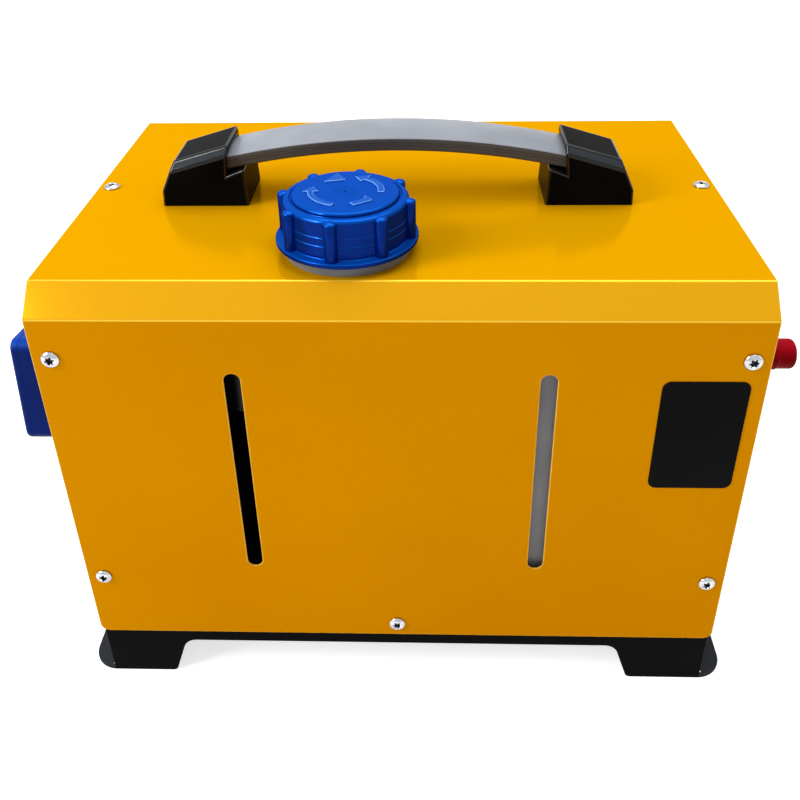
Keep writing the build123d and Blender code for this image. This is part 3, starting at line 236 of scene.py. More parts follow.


# ---- Base tray ------------------------------------------------------------------
# One steel sheet folded into a deck with four skirts, cut into feet, with ears
# for the floor bolts. Satin black powder coat, worn a little on its edges, with a painted
# highlight in paler grey on its eased edges and on what faces up.

weld = 0.000002
flat_within = radians(0.3)
wear_and_glint_grain = 160.0
least_wear_and_glint = 0.3
relief_depth = 0.0002
painted_top_light_range = (0.15, 0.85)


def paint(*parts):
    """A colour given as it looks on a screen, from 0 to 255, for a shader."""
    shares = [part / 255 for part in parts]
    return (*(((s + 0.055) / 1.055) ** 2.4 if s > 0.04 else s / 12.92 for s in shares), 1)


def noise_at(tree, scale):
    """A noise pattern fixed to the piece."""
    place = tree.nodes.new("ShaderNodeTexCoord")
    pattern = tree.nodes.new("ShaderNodeTexNoise")
    pattern.inputs["Scale"].default_value = scale
    pattern.inputs["Detail"].default_value = 3.0
    tree.links.new(place.outputs["Object"], pattern.inputs["Vector"])
    return pattern.outputs[0]


def blend_colours(tree, share, first, second):
    """Mixes a second colour into a first one, which may be mixed already."""
    mix = tree.nodes.new("ShaderNodeMix")
    mix.data_type = "RGBA"
    for name, value in (("Factor", share), ("A", first), ("B", second)):
        feed(tree, mix.inputs[name], value)
    return mix.outputs["Result"]


def facing_parts(tree):
    """The way that a face looks, as X, Y and Z."""
    facing = tree.nodes.new("ShaderNodeNewGeometry")
    parts = tree.nodes.new("ShaderNodeSeparateXYZ")
    tree.links.new(facing.outputs["Normal"], parts.inputs[0])
    return parts.outputs


def edge_mask(tree, width, turn):
    """1 along outer and inner edges, within a width in metres. turn holds the cosines between
    the eased and the true normal at which an edge starts to show and shows in full."""
    rounded = tree.nodes.new("ShaderNodeBevel")
    rounded.samples = 4
    rounded.inputs["Radius"].default_value = width
    flat = tree.nodes.new("ShaderNodeNewGeometry")
    angle = tree.nodes.new("ShaderNodeVectorMath")
    angle.operation = "DOT_PRODUCT"
    tree.links.new(rounded.outputs[0], angle.inputs[0])
    tree.links.new(flat.outputs["Normal"], angle.inputs[1])
    return spread(tree, angle.outputs["Value"], 1, 0, start=turn[1], stop=turn[0])


def coated(
    name, tone, shade, gloss, grain, relief,
    patch=18.0, metal=0.0, level=0.5, wear_and_glint=None, turn=(0.97, 0.80), painted_top_light=None,
):
    """A coat or moulding: two close tones in patches, uneven gloss, fine relief, edges in another
    tone, which is wear on some finishes and a painted highlight on others, and a painted highlight
    in a lighter tone on what faces up. The edge tuple holds the edge tone, the width and how far it
    shows."""
    material = new_finish(name, {"Metallic": metal, "Specular IOR Level": level})
    tree = material.node_tree
    sockets = shader_of(material).inputs
    patches = noise_at(tree, patch)
    colour = blend_colours(tree, spread(tree, patches, 0, 1), tone, shade)
    # Painted light: what faces up takes a lighter tone.
    if painted_top_light:
        top_light_share = spread(tree, facing_parts(tree)["Z"], 0, 1, *painted_top_light_range)
        colour = blend_colours(tree, top_light_share, colour, painted_top_light)
    # Edges take another tone, which is wear on some finishes and a painted highlight on others.
    if wear_and_glint:
        wear_and_glint_tone, width, share = wear_and_glint
        wear_and_glint_share = spread(tree, noise_at(tree, wear_and_glint_grain), share * least_wear_and_glint, share)
        amount = arithmetic(tree, "MULTIPLY", edge_mask(tree, width, turn), wear_and_glint_share)
        colour = blend_colours(tree, amount, colour, wear_and_glint_tone)
    bump = tree.nodes.new("ShaderNodeBump")
    bump.inputs["Strength"].default_value = relief
    bump.inputs["Distance"].default_value = relief_depth
    tree.links.new(noise_at(tree, grain), bump.inputs["Height"])
    tree.links.new(colour, sockets["Base Color"])
    tree.links.new(spread(tree, patches, *gloss), sockets["Roughness"])
    tree.links.new(bump.outputs[0], sockets["Normal"])
    return material


def merged(node):
    """A made part's loose triangles, joined where they meet."""
    shape = bmesh.new()
    shape.from_mesh(nodes[node].data)
    bmesh.ops.remove_doubles(shape, verts=shape.verts, dist=weld)
    return shape


def plain_mesh(piece, keep_flat=False):
    """Turns a piece with modifiers into a plain mesh. Its flat faces may be kept looking flat."""
    if keep_flat:
        piece.modifiers.new("flat_faces", "WEIGHTED_NORMAL").keep_sharp = True
    evaluated = piece.evaluated_get(bpy.context.evaluated_depsgraph_get())
    made = bpy.data.meshes.new_from_object(evaluated)
    piece.modifiers.clear()
    piece.data = made


def ease_edges(piece, width, sharp, steps=2, rim=None, clamp=True):
    """Eases the edges past an angle. The eased edges may have a finish of their own, which is
    a paler painted highlight wherever it is given.
    """
    bevel = piece.modifiers.new("eased_edges", "BEVEL")
    bevel.width = width
    bevel.segments = steps
    bevel.limit_method = "ANGLE"
    bevel.angle_limit = radians(sharp)
    bevel.use_clamp_overlap = clamp
    bevel.harden_normals = True
    if rim:
        piece.data.materials.append(rim)
        bevel.material = 1


def hand_over(piece, body="heater", node=None):
    """Gives a piece its body, and hides the made part that it stands for."""
    if node:
        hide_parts(node)
    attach(piece, body)


def eased(node, edge, material, sharp=31.0, steps=2, rim=None, clamp=True):
    """A copy of a made part with its sharp edges eased, which stands for it."""
    shape = merged(node)
    bmesh.ops.dissolve_limit(shape, angle_limit=flat_within, verts=shape.verts, edges=shape.edges)
    piece = as_piece(f"{node}_finished", shape, material, sharp=sharp)
    ease_edges(piece, edge, sharp, steps, rim, clamp)
    plain_mesh(piece, keep_flat=True)
    hand_over(piece, nodes[node]["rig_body"], node)


def finished(material, *names):
    """Gives made parts their finish."""
    for name in names:
        slots = nodes[name].data.materials
        if not slots:
            slots.append(material)
        for number in range(len(slots)):
            slots[number] = material


# Painted light: faces that face up, such as the ear tops, are a lighter grey.
black_coat = coated(
    "black_powder_coat", paint(6, 6, 7), paint(9, 9, 10), (0.30, 0.42), 2400, 0.10,
    level=0.015, wear_and_glint=(paint(74, 78, 84), 0.0006, 0.6), painted_top_light=paint(58, 62, 66),
)
# Painted highlight: the tray's eased edges are a paler grey.
black_edge_highlight = coated(
    "black_coat_edge_highlight", paint(48, 52, 57), paint(58, 62, 68), (0.3, 0.4), 2400, 0.1, level=0.1
)
eased("base_tray", 0.0003, black_coat, rim=black_edge_highlight)


# ---- Heater core ----------------------------------------------------------------
# Moulded air jacket round a cast aluminium exchanger. The burner, the glow plug and
# the pipe stubs are steel, the fans ride on a ground shaft, and a gasket seals the foot.

jacket_plastic = coated(
    "jacket_plastic", paint(30, 31, 33), paint(38, 39, 41), (0.45, 0.6), 1500, 0.25,
    level=0.2, wear_and_glint=(paint(70, 71, 74), 0.0005, 0.3),
)
cast_aluminium = coated(
    "cast_aluminium", paint(176, 178, 180), paint(150, 152, 155), (0.38, 0.55), 700, 0.5,
    patch=40, metal=1.0, wear_and_glint=(paint(214, 215, 217), 0.0005, 0.7),
)
heat_steel = coated(
    "heat_stained_steel", paint(168, 160, 148), paint(128, 112, 98), (0.28, 0.45), 500, 0.2,
    patch=26, metal=1.0, wear_and_glint=(paint(205, 200, 192), 0.0004, 0.6),
)
zinc_plate = coated(
    "zinc_plate", paint(204, 205, 206), paint(176, 178, 182), (0.16, 0.27), 900, 0.08,
    patch=70, metal=1.0, wear_and_glint=(paint(238, 238, 238), 0.0003, 0.5),
)
gasket_fibre = coated(
    "gasket_fibre", paint(92, 94, 92), paint(116, 117, 112), (0.8, 0.92), 600, 0.6, patch=120
)
finished(jacket_plastic, "core_lower_shell", "core_upper_shell", "intake_guard", "outlet_hood")
finished(jacket_plastic, "hot_air_fan", "control_unit")
finished(cast_aluminium, "heat_exchanger", "blower_housing", "combustion_wheel", "motor")
finished(heat_steel, "burner", "glow_plug")
finished(zinc_plate, "rotor_shaft", "core_studs", "core_nuts", "handle_screws")
finished(gasket_fibre, "core_gasket")
for stub in ("exhaust_pipe", "combustion_air_pipe"):
    eased(stub, 0.0003, heat_steel)


# ---- Fuel pump, filter and lines ------------------------------------------------
# A zinc-plated metering pump in a rubber sleeve on a black sheet bracket, a clear
# in-line filter in a clip, and black fuel hose between tank, filter, pump and burner.

rubber = coated(
    "black_rubber", paint(20, 20, 21), paint(28, 28, 29), (0.6, 0.78), 1100, 0.4,
    patch=60, level=0.2,
)
clear_nylon = coated(
    "filter_nylon", paint(214, 214, 206), paint(198, 198, 188), (0.2, 0.32), 800, 0.1, patch=45
)
adjust(clear_nylon, {"Transmission Weight": 0.55})
bracket_coat = coated(
    "bracket_black", paint(8, 8, 9), paint(12, 12, 13), (0.12, 0.2), 1800, 0.06, level=0.15
)
finished(zinc_plate, "fuel_pump", "filter_clip")
finished(rubber, "pump_clamp", "tank_line", "pump_line", "burner_line", "tank_pads", "cap_seal")
finished(clear_nylon, "fuel_filter")
finished(bracket_coat, "pump_bracket")


# ---- Fuel tank --------------------------------------------------------------------
# Blow-moulded polyethylene, milky and faintly uneven, seen through the right-hand
# sight slot and at the neck. It stands on two rubber strips.

tank_skin = coated(
    "tank_polyethylene", paint(150, 151, 155), paint(136, 137, 142), (0.34, 0.48), 420, 0.35,
    patch=22, level=0.2,
)
adjust(tank_skin, {"Subsurface Weight": 0.25, "Subsurface Scale": 0.006})
finished(tank_skin, "fuel_tank", "tank_outlet")


# ---- Cover and end panels ---------------------------------------------------------
# The cover is one steel sheet folded over front, slanted shoulders, top and back.
# Two flanged pans close the ends. Glossy yellow powder coat with a slight orange peel.

sheen_yellow = (1, 0.66, 0.04, 1)
painted_shoulder_highlight = ((0.10, 0.0), (0.24, 1.0), (0.40, 1.0), (0.47, 0.15))


def slant_of(tree):
    """0 on upright and on level faces, and about a half where a face slants to front or back."""
    parts = facing_parts(tree)
    return arithmetic(tree, "ABSOLUTE", arithmetic(tree, "MULTIPLY", parts["Y"], parts["Z"]))


def retone(material, share, colour):
    """Mixes one more colour into a finish, by a share of 0 to 1."""
    base = shader_of(material).inputs["Base Color"]
    mixed = blend_colours(material.node_tree, share, base.links[0].from_socket, colour)
    material.node_tree.links.new(mixed, base)


def yellow_coat():
    """Yellow powder coat: smooth gloss and barely visible peel, with painted highlights in paler yellow
    along the folds, on the slanted shoulders, along the edges and on what faces up. The painted
    highlight on the shoulders goes by steps of (slant, share)."""
    # Painted light: faces that face up are a paler yellow, and the edge tone is a painted highlight along
    # edges and slot rims.
    material = coated(
        "yellow_powder_coat", paint(203, 133, 0), paint(199, 129, 0), (0.14, 0.18), 900, 0.04,
        patch=7, metal=0.25, level=0.0, wear_and_glint=(paint(255, 216, 104), 0.0008, 0.9),
        turn=(0.996, 0.93), painted_top_light=paint(224, 160, 0),
    )
    adjust(material, {"Specular Tint": sheen_yellow})
    tree = material.node_tree
    # Painted highlight: paler yellow where a face slants to front or back, on the shoulders and along the
    # folds.
    glint = tree.nodes.new("ShaderNodeValToRGB")
    stops = glint.color_ramp.elements
    for number, (slant, share) in enumerate(painted_shoulder_highlight):
        stop = stops[number] if number < 2 else stops.new(slant)
        stop.position = slant
        stop.color = (share, share, share, 1)
    tree.links.new(slant_of(tree), glint.inputs["Fac"])
    retone(material, glint.outputs["Color"], paint(255, 204, 66))
    return material


yellow = yellow_coat()
# Painted highlight: the cover's eased edges are a paler yellow.
yellow_edge_highlight = coated(
    "yellow_coat_edge_highlight", paint(242, 188, 80), paint(236, 180, 68), (0.2, 0.25), 900, 0.04, level=0.1
)
eased("cover", 0.0003, yellow, sharp=40.0, steps=1, rim=yellow_edge_highlight, clamp=False)
eased("end_panel_left", 0.00025, yellow, sharp=40.0)
eased("end_panel_right", 0.00025, yellow, sharp=40.0)


# ---- Cover screws -----------------------------------------------------------------
# Zinc-plated dome-head screws with a six-lobe socket: five in the front, five in the
# back and two in the top, and four smaller ones round the hot-air spigot.

head_radius = 0.0050
head_height = 0.0025
socket_radius = 0.0028
socket_depth = 0.0017
socket_wall = 0.00022
lobe_count = 6
lobe_share = 0.18
dome_power = 2.4
dome_share = 0.93
spigot_sizes = {"Head radius": 0.0040, "Socket radius": 0.0022}


class ShapeTree:
    """A geometry tree under construction, with named inputs and small steps."""

    def __init__(self, name):
        self.tree = bpy.data.node_groups.new(name, "GeometryNodeTree")
        self.face = self.tree.interface
        for way in ("INPUT", "OUTPUT"):
            self.face.new_socket("Geometry", in_out=way, socket_type="NodeSocketGeometry")
        self.start = self.tree.nodes.new("NodeGroupInput")
        self.stop = self.tree.nodes.new("NodeGroupOutput")

    def size(self, name, value, kind="NodeSocketFloat"):
        """A named input of the tree."""
        socket = self.face.new_socket(name, in_out="INPUT", socket_type=kind)
        socket.default_value = value
        return self.start.outputs[name]

    def step(self, kind, settings=(), **inputs):
        """Adds a node, sets its options and feeds its inputs by name."""
        node = self.tree.nodes.new(kind)
        for option, choice in dict(settings).items():
            setattr(node, option, choice)
        for name, value in inputs.items():
            feed(self.tree, node.inputs[name.replace("_", " ")], value)
        return node

    def sum(self, operation, *values):
        """One step of arithmetic."""
        return arithmetic(self.tree, operation, *values)

    def ball(self, segments, rings):
        """A ball of radius 1, and where each of its points is."""
        ball = self.step("GeometryNodeMeshUVSphere", Segments=segments, Rings=rings, Radius=1.0)
        place = self.step("GeometryNodeInputPosition")
        parts = self.step("ShaderNodeSeparateXYZ", Vector=place.outputs[0])
        return ball.outputs["Mesh"], parts.outputs

    def end(self, geometry, material):
        """Realizes, gives the material and closes the tree."""
        real = self.step("GeometryNodeRealizeInstances", Geometry=geometry)
        skin = self.step("GeometryNodeSetMaterial", Geometry=real.outputs[0])
        skin.inputs["Material"].default_value = material
        self.tree.links.new(skin.outputs[0], self.stop.inputs[0])
        return self.tree


def screw_tree(material):
    """Heads with a six-lobe socket, one on each point, turned to the way that it faces."""
    made = ShapeTree("dome_head_screws")
    radius = made.size("Head radius", head_radius)
    height = made.size("Head height", head_height)
    socket = made.size("Socket radius", socket_radius)
    depth = made.size("Socket depth", socket_depth)
    seed = made.size("Seed", 3, "NodeSocketInt")
    ball, (across, along, up) = made.ball(72, 56)
    turn = made.sum("ARCTAN2", along, across)
    tilt = made.sum("ARCCOSINE", up)
    quarters = made.sum("DIVIDE", tilt, pi / 2)
    reach = made.sum("MINIMUM", quarters, 1.0)
    under = made.sum("MAXIMUM", made.sum("SUBTRACT", quarters, 1.0), 0.0)
    far = made.sum("MULTIPLY", made.sum("SUBTRACT", reach, under), radius)
    fall = made.sum("MULTIPLY", made.sum("POWER", reach, dome_power), dome_share)
    dome = made.sum("SQRT", made.sum("SUBTRACT", 1.0, fall))
    wave = made.sum("COSINE", made.sum("MULTIPLY", turn, lobe_count))
    lobes = made.sum("ADD", made.sum("MULTIPLY", wave, lobe_share), 1 - lobe_share)
    edge = made.sum("MULTIPLY", socket, lobes)
    inside = made.sum("DIVIDE", made.sum("SUBTRACT", edge, far), socket_wall)
    recess = made.sum("MINIMUM", made.sum("MAXIMUM", inside, 0.0), 1.0)
    sunk = made.sum("MULTIPLY", recess, depth)
    top = made.sum("SUBTRACT", made.sum("MULTIPLY", dome, height), sunk)
    is_upper = made.sum("LESS_THAN", quarters, 1.005)
    new_place = made.step(
        "ShaderNodeCombineXYZ",
        X=made.sum("MULTIPLY", made.sum("COSINE", turn), far),
        Y=made.sum("MULTIPLY", made.sum("SINE", turn), far),
        Z=made.sum("MULTIPLY", top, is_upper),
    )
    marked = made.step(
        "GeometryNodeStoreNamedAttribute", {"data_type": "FLOAT"},
        Geometry=ball, Name="recess", Value=made.sum("MULTIPLY", recess, is_upper),
    )
    head = made.step("GeometryNodeSetPosition", Geometry=marked.outputs[0], Position=new_place.outputs[0])
    soft = made.step("GeometryNodeSetShadeSmooth", Geometry=head.outputs[0])
    facing = made.step("GeometryNodeInputNamedAttribute", {"data_type": "FLOAT_VECTOR"}, Name="facing")
    aim = made.step("FunctionNodeAlignRotationToVector", {"axis": "Z"}, Vector=facing.outputs[0])
    spin = made.step("FunctionNodeRandomValue", {"data_type": "FLOAT"}, Seed=seed)
    spin.inputs[2].default_value = 0.0
    spin.inputs[3].default_value = 2 * pi
    spin_value = [output for output in spin.outputs if output.type == "VALUE"][0]
    about = made.step("ShaderNodeCombineXYZ", Z=spin_value)
    turned = made.step("FunctionNodeEulerToRotation", Euler=about.outputs[0])
    whole = made.step(
        "FunctionNodeRotateRotation", {"rotation_space": "LOCAL"},
        Rotation=aim.outputs[0], Rotate_By=turned.outputs[0],
    )
    rows = made.step(
        "GeometryNodeInstanceOnPoints", Points=made.start.outputs["Geometry"],
        Instance=soft.outputs[0], Rotation=whole.outputs[0],
    )
    return made.end(rows.outputs[0], material)


def grow(piece, tree, sizes):
    """Runs a geometry tree on a piece, with sizes by name, and keeps the result as a plain mesh."""
    modifier = piece.modifiers.new("grow", "NODES")
    modifier.node_group = tree
    sockets = {
        item.name: item.identifier for item in tree.interface.items_tree if item.in_out == "INPUT"
    }
    for name, value in sizes.items():
        modifier[sockets[name]] = value
    plain_mesh(piece)


def solid_middles(node):
    """The middle of each separate solid of a made part."""
    shape = merged(node)
    left = set(shape.verts)
    middles = []
    while left:
        group = [left.pop()]
        for vertex in group:
            for link in vertex.link_edges:
                other = link.other_vert(vertex)
                if other in left:
                    left.remove(other)
                    group.append(other)
        low = [min(vertex.co[axis] for vertex in group) for axis in range(3)]
        high = [max(vertex.co[axis] for vertex in group) for axis in range(3)]
        middles.append([(a + b) / 2 for a, b in zip(low, high)])
    shape.free()
    return sorted(middles)


def carried_value(tree, name):
    """A value that a piece's mesh carries under a name."""
    carried = tree.nodes.new("ShaderNodeAttribute")
    carried.attribute_name = name
    return carried.outputs["Fac"]


screw_chrome = coated(
    "screw_chrome", paint(200, 202, 205), paint(174, 176, 181), (0.08, 0.16), 900, 0.06,
    patch=160, metal=1.0,
)
chrome_tree = screw_chrome.node_tree
# Painted shade: the six-lobe socket is darkened nearly to black.
socket_shade = spread(chrome_tree, carried_value(chrome_tree, "recess"), 0, 1, start=0.2, stop=0.8)
retone(screw_chrome, socket_shade, paint(30, 31, 34))
screw_heads = screw_tree(screw_chrome)
cover_low, cover_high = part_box("cover")
front_y = cover_low.y
top_z = cover_high.z
spigot_face_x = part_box("duct_screws")[1].x - head_height

for node, axis, side, face, sizes in (
    ("front_screws", 1, -1, front_y, {"Seed": 3}),
    ("back_screws", 1, 1, cover_high.y, {"Seed": 5}),
    ("top_screws", 2, 1, top_z, {"Seed": 8}),
    ("duct_screws", 0, 1, spigot_face_x, {"Seed": 2, **spigot_sizes}),
):
    spots = bmesh.new()
    facing = spots.verts.layers.float_vector.new("facing")
    outwards = [0, 0, 0]
    outwards[axis] = side
    for spot in solid_middles(node):
        spot[axis] = face
        spots.verts.new(spot)[facing] = outwards
    heads = as_piece(f"{node}_heads", spots)
    grow(heads, screw_heads, sizes)
    hand_over(heads, node=node)


# ---- Data plate -------------------------------------------------------------------
# A thin bare plate with rounded corners, stuck on the right-hand side of the front.
# Satin black film with nothing printed on it.

plate_left, plate_right = 0.1383, 0.1843
plate_bottom, plate_top = 0.1624, 0.2345
plate_corner = 0.0048
plate_thickness = 0.0005
plate_edge = 0.00018
slab_sharp = 40


def arc_points(centre, radius, start, stop, steps):
    """Points of an arc, from one angle in degrees to another."""
    turns = [radians(start + (stop - start) * step / steps) for step in range(steps + 1)]
    return [(centre[0] + radius * cos(turn), centre[1] + radius * sin(turn)) for turn in turns]


def rounded_outline(left, right, low, high, corner):
    """Points round a rectangle with round corners, anticlockwise."""
    points = []
    for quarter, (x, z) in enumerate((
        (right - corner, high - corner), (left + corner, high - corner),
        (left + corner, low + corner), (right - corner, low + corner),
    )):
        points += arc_points((x, z), corner, 90 * quarter, 90 * quarter + 90, 8)
    return points


def joined(shape, rings, ends=True):
    """Joins rings of points, any of which may be a single point, with bands of faces, and may
    close the first and the last one."""
    bands = []
    for first, second in zip(rings, rings[1:]):
        bands.append([])
        for step in range(max(len(first), len(second))):
            corners = [
                first[step % len(first)], first[(step + 1) % len(first)],
                second[(step + 1) % len(second)], second[step % len(second)],
            ]
            unique = list(dict.fromkeys(corners))
            if len(unique) > 2:
                bands[-1].append(shape.faces.new(unique))
    if ends:
        shape.faces.new(rings[0])
        shape.faces.new(list(reversed(rings[-1])))
    bmesh.ops.recalc_face_normals(shape, faces=shape.faces)
    return bands


def slab(name, outline, place, thickness, edge, material, rim=None):
    """A flat piece of the given outline, with eased edges. place maps (across, up, out) to a point."""
    shape = bmesh.new()
    joined(shape, [[shape.verts.new(place(a, b, out)) for a, b in outline] for out in (0, thickness)])
    piece = as_piece(name, shape, material, sharp=slab_sharp)
    ease_edges(piece, edge, slab_sharp, rim=rim)
    plain_mesh(piece)
    return piece


plate_film = coated(
    "plate_film", paint(6, 6, 7), paint(9, 9, 10), (0.28, 0.36), 1600, 0.05,
    level=0.03, wear_and_glint=(paint(56, 56, 58), 0.0004, 0.8),
)
data_plate = slab(
    "data_plate",
    rounded_outline(plate_left, plate_right, plate_bottom, plate_top, plate_corner),
    lambda across, up, out: (across, front_y - out, up),
    plate_thickness, plate_edge, plate_film,
)
hand_over(data_plate)


# ---- Carrying handle ----------------------------------------------------------------
# An arched grip of silver-grey plastic with fine lines moulded along its sides. Its
# ends sit under the hoods of two glossy black caps.

grip_low, grip_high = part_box("handle_grip")
grip_middle_x = (grip_low.x + grip_high.x) / 2
grip_middle_y = (grip_low.y + grip_high.y) / 2
grip_half_depth = (grip_high.y - grip_low.y) / 2
grip_apex = 0.0324
grip_side = 0.0080
grip_crown = 0.0016
grip_edge = 0.0013
grip_rise = 0.0106
grip_rise_x = 0.0980
grip_reach = 0.1116
grip_line_heights = (0.42 * grip_side, 0.62 * grip_side)
grip_line_depth = 0.00028
grip_line_width = 0.0005
flank_top = grip_side - 0.4 * grip_edge
crown_steps = 12
grip_stations = 72
grip_sharp = 38
arch_radius = (grip_rise_x**2 + grip_rise**2) / (2 * grip_rise)
arch_centre = grip_apex - arch_radius


def grip_outline(extra=0.0, lines=()):
    """Round edges, fine lines along each side and a low crown, widened all round by an extra."""
    half = grip_half_depth + extra
    edge = grip_edge + extra
    high = grip_side + extra
    points = arc_points((half - edge, edge - extra), edge, -90, 0, 6)
    for height in lines:
        for inwards, step in ((0, -1 / 2), (1, -1 / 6), (1, 1 / 6), (0, 1 / 2)):
            points.append((half - grip_line_depth * inwards, height + grip_line_width * step))
    points += arc_points((half - edge, high - edge), edge, 0, 90, 6)
    for step in range(1, crown_steps):
        share = 1 - step / crown_steps
        points.append(((half - edge) * share, high + grip_crown * (1 - share**2)))
    return points + [(0, high + grip_crown)] + [(-a, b) for a, b in reversed(points)]


def make_grip(material):
    """Sweeps the outline along a shallow arc, and marks its flanks for a painted shade."""
    swing = grip_reach / arch_radius
    shape = bmesh.new()
    shaded_flank = shape.verts.layers.float.new("shaded_flank")
    rings = []
    for station in range(grip_stations + 1):
        turn = swing * (2 * station / grip_stations - 1)
        rings.append([])
        for across, up in grip_outline(lines=grip_line_heights):
            reach = arch_radius + up
            x = grip_middle_x + reach * sin(turn)
            z = top_z + arch_centre + reach * cos(turn)
            point = shape.verts.new((x, grip_middle_y + across, z))
            point[shaded_flank] = float(up < flank_top)
            rings[-1].append(point)
    joined(shape, rings)
    return as_piece("handle_grip_moulding", shape, material, sharp=grip_sharp)


grip_grey = coated(
    "grip_silver_grey", paint(150, 154, 163), paint(132, 136, 144), (0.30, 0.40), 2200, 0.18,
    patch=16, level=0.2,
)
# Painted shade: the grip's flanks are a darker, brownish grey than its crest.
retone(grip_grey, carried_value(grip_grey.node_tree, "shaded_flank"), paint(72, 69, 68))
hand_over(make_grip(grip_grey), node="handle_grip")

# Painted light: the crest is a lighter black where it faces up, and the slanted facets a lighter
# blue-grey.
cap_black = coated(
    "cap_gloss_black", paint(9, 9, 10), paint(13, 13, 14), (0.14, 0.20), 700, 0.10,
    patch=30, level=0.004, painted_top_light=paint(18, 18, 19),
)
cap_tree = cap_black.node_tree
facet_highlight_share = spread(cap_tree, slant_of(cap_tree), 0, 1, start=0.2, stop=0.42)
retone(cap_black, facet_highlight_share, paint(58, 63, 70))
cap_edge = coated(
    "cap_edge", paint(7, 7, 8), paint(11, 11, 12), (0.08, 0.14), 700, 0.05, patch=90, level=0.3
)

end_inner, end_outer = 0.0885, 0.1404
end_heel = (0.1400, 0.0094)
end_brow = (0.1318, 0.0274)
end_rim = (0.0986, 0.0373)
end_notch = (0.1003, 0.0190)
end_ledge = (0.0897, 0.0232)
front_facet = (0.0034, 0.0050)
back_facet = (0.0052, 0.0058)
end_round = 0.0013
end_sharp = 40
foot_height = 0.00001
lip_round = 0.0018
lip_start = 0.0004
pocket_gap = 0.0002
pocket_end = 0.1120
seam_width = 0.0004
seam_depth = 0.0003
past_face = 0.001


def end_point(side, x, y, z):
    """A point of an end cap, from the grip's middle and the cover's top."""
    return Vector((grip_middle_x + side * x, y, top_z + z))


def wedge(side, low, high):
    """The end cap's body: its profile across the handle's depth, faceted along the crest and
    with every outer edge but those at the foot rounded."""
    shape = bmesh.new()
    profile = [(end_inner, 0), (end_outer, 0), end_heel, end_brow, end_rim, end_notch, end_ledge]
    joined(shape, [
        [shape.verts.new(end_point(side, x, y, z)) for x, z in profile] for y in (low.y, high.y)
    ])
    rim = end_point(side, end_rim[0], 0, end_rim[1])
    along = (end_point(side, end_brow[0], 0, end_brow[1]) - rim).normalized()
    down = Vector((-side * abs(along.z), 0, -abs(along.x)))
    for way, edge_y, (run, drop) in ((-1, low.y, front_facet), (1, high.y, back_facet)):
        crest_point = Vector((rim.x, edge_y - way * run, rim.z))
        side_point = Vector((rim.x, edge_y, rim.z)) + down * drop
        outwards = along.cross(side_point - crest_point)
        if outwards.y * way < 0:
            outwards.negate()
        everything = shape.verts[:] + shape.edges[:] + shape.faces[:]
        cut = bmesh.ops.bisect_plane(
            shape, geom=everything, plane_co=crest_point, plane_no=outwards, clear_outer=True
        )
        rim_edges = [part for part in cut["geom_cut"] if isinstance(part, bmesh.types.BMEdge)]
        bmesh.ops.edgeloop_fill(shape, edges=rim_edges)
    bmesh.ops.recalc_face_normals(shape, faces=shape.faces)
    foot = top_z + foot_height
    outer = [e for e in shape.edges if e.is_convex and max(v.co.z for v in e.verts) > foot]
    bmesh.ops.bevel(
        shape, geom=outer, offset=end_round, offset_type="OFFSET", segments=4, profile=0.5,
        affect="EDGES", clamp_overlap=False, material=1,
    )
    return shape


def pocket(side, low, high):
    """What is taken out of the wedge: the grip's pocket, flared at its mouth into a rounded lip,
    and a fine seam across the front and the back."""
    shape = bmesh.new()
    lean = (end_rim[0] - end_notch[0]) / (end_rim[1] - end_notch[1])
    underside = arch_centre + sqrt(arch_radius**2 - end_rim[0] ** 2)
    mouth = end_notch[0] + lean * (underside - end_notch[1])
    lip = arc_points((lip_round, lip_round), lip_round, 180, 270, 6)
    stations = [(-lip_start, lip_round, lean)] + [(*spot, lean) for spot in lip]
    stations.append((pocket_end - mouth, 0, 0))
    rings = []
    for inwards, flare, tilt in stations:
        rings.append([])
        for across, up in grip_outline(pocket_gap + flare):
            x = mouth + inwards + tilt * up
            z = arch_centre + sqrt((arch_radius + up) ** 2 - x**2)
            rings[-1].append(shape.verts.new(end_point(side, x, grip_middle_y + across, z)))
    for band in joined(shape, rings)[:-1]:
        for face in band:
            face.material_index = 1
    start = end_point(side, end_notch[0], 0, end_notch[1])
    stop = end_point(side, end_heel[0], 0, end_heel[1])
    up = Vector((-(stop - start).z, 0, (stop - start).x)).normalized() * seam_width / 2
    corners = [start - up, stop - up, stop + up, start + up]
    for inside, outside in (
        (low.y + seam_depth, low.y - past_face), (high.y - seam_depth, high.y + past_face)
    ):
        joined(shape, [[shape.verts.new((c.x, y, c.z)) for c in corners] for y in (inside, outside)])
    return shape


for node, side in (("handle_cap_left", -1), ("handle_cap_right", 1)):
    end_low, end_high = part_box(node)
    end_cap = as_piece(f"{node}_moulding", wedge(side, end_low, end_high), cap_black, cap_edge)
    cutter = as_piece(f"{node}_pocket", pocket(side, end_low, end_high), cap_black, cap_edge)
    cut = end_cap.modifiers.new("pocket", "BOOLEAN")
    cut.operation = "DIFFERENCE"
    cut.solver = "EXACT"
    cut.object = cutter
    plain_mesh(end_cap)
    bpy.data.objects.remove(cutter)
    smooth(end_cap.data, end_sharp)
    plain_mesh(end_cap, keep_flat=True)
    hand_over(end_cap, node=node)


# ---- Filler cap and neck ring ---------------------------------------------------------
# Screw cap moulded in glossy blue plastic: flanged skirt, eight grip ribs, rounded
# shoulder and a raised dial with turning marks. A pale ring clamps the neck below it.

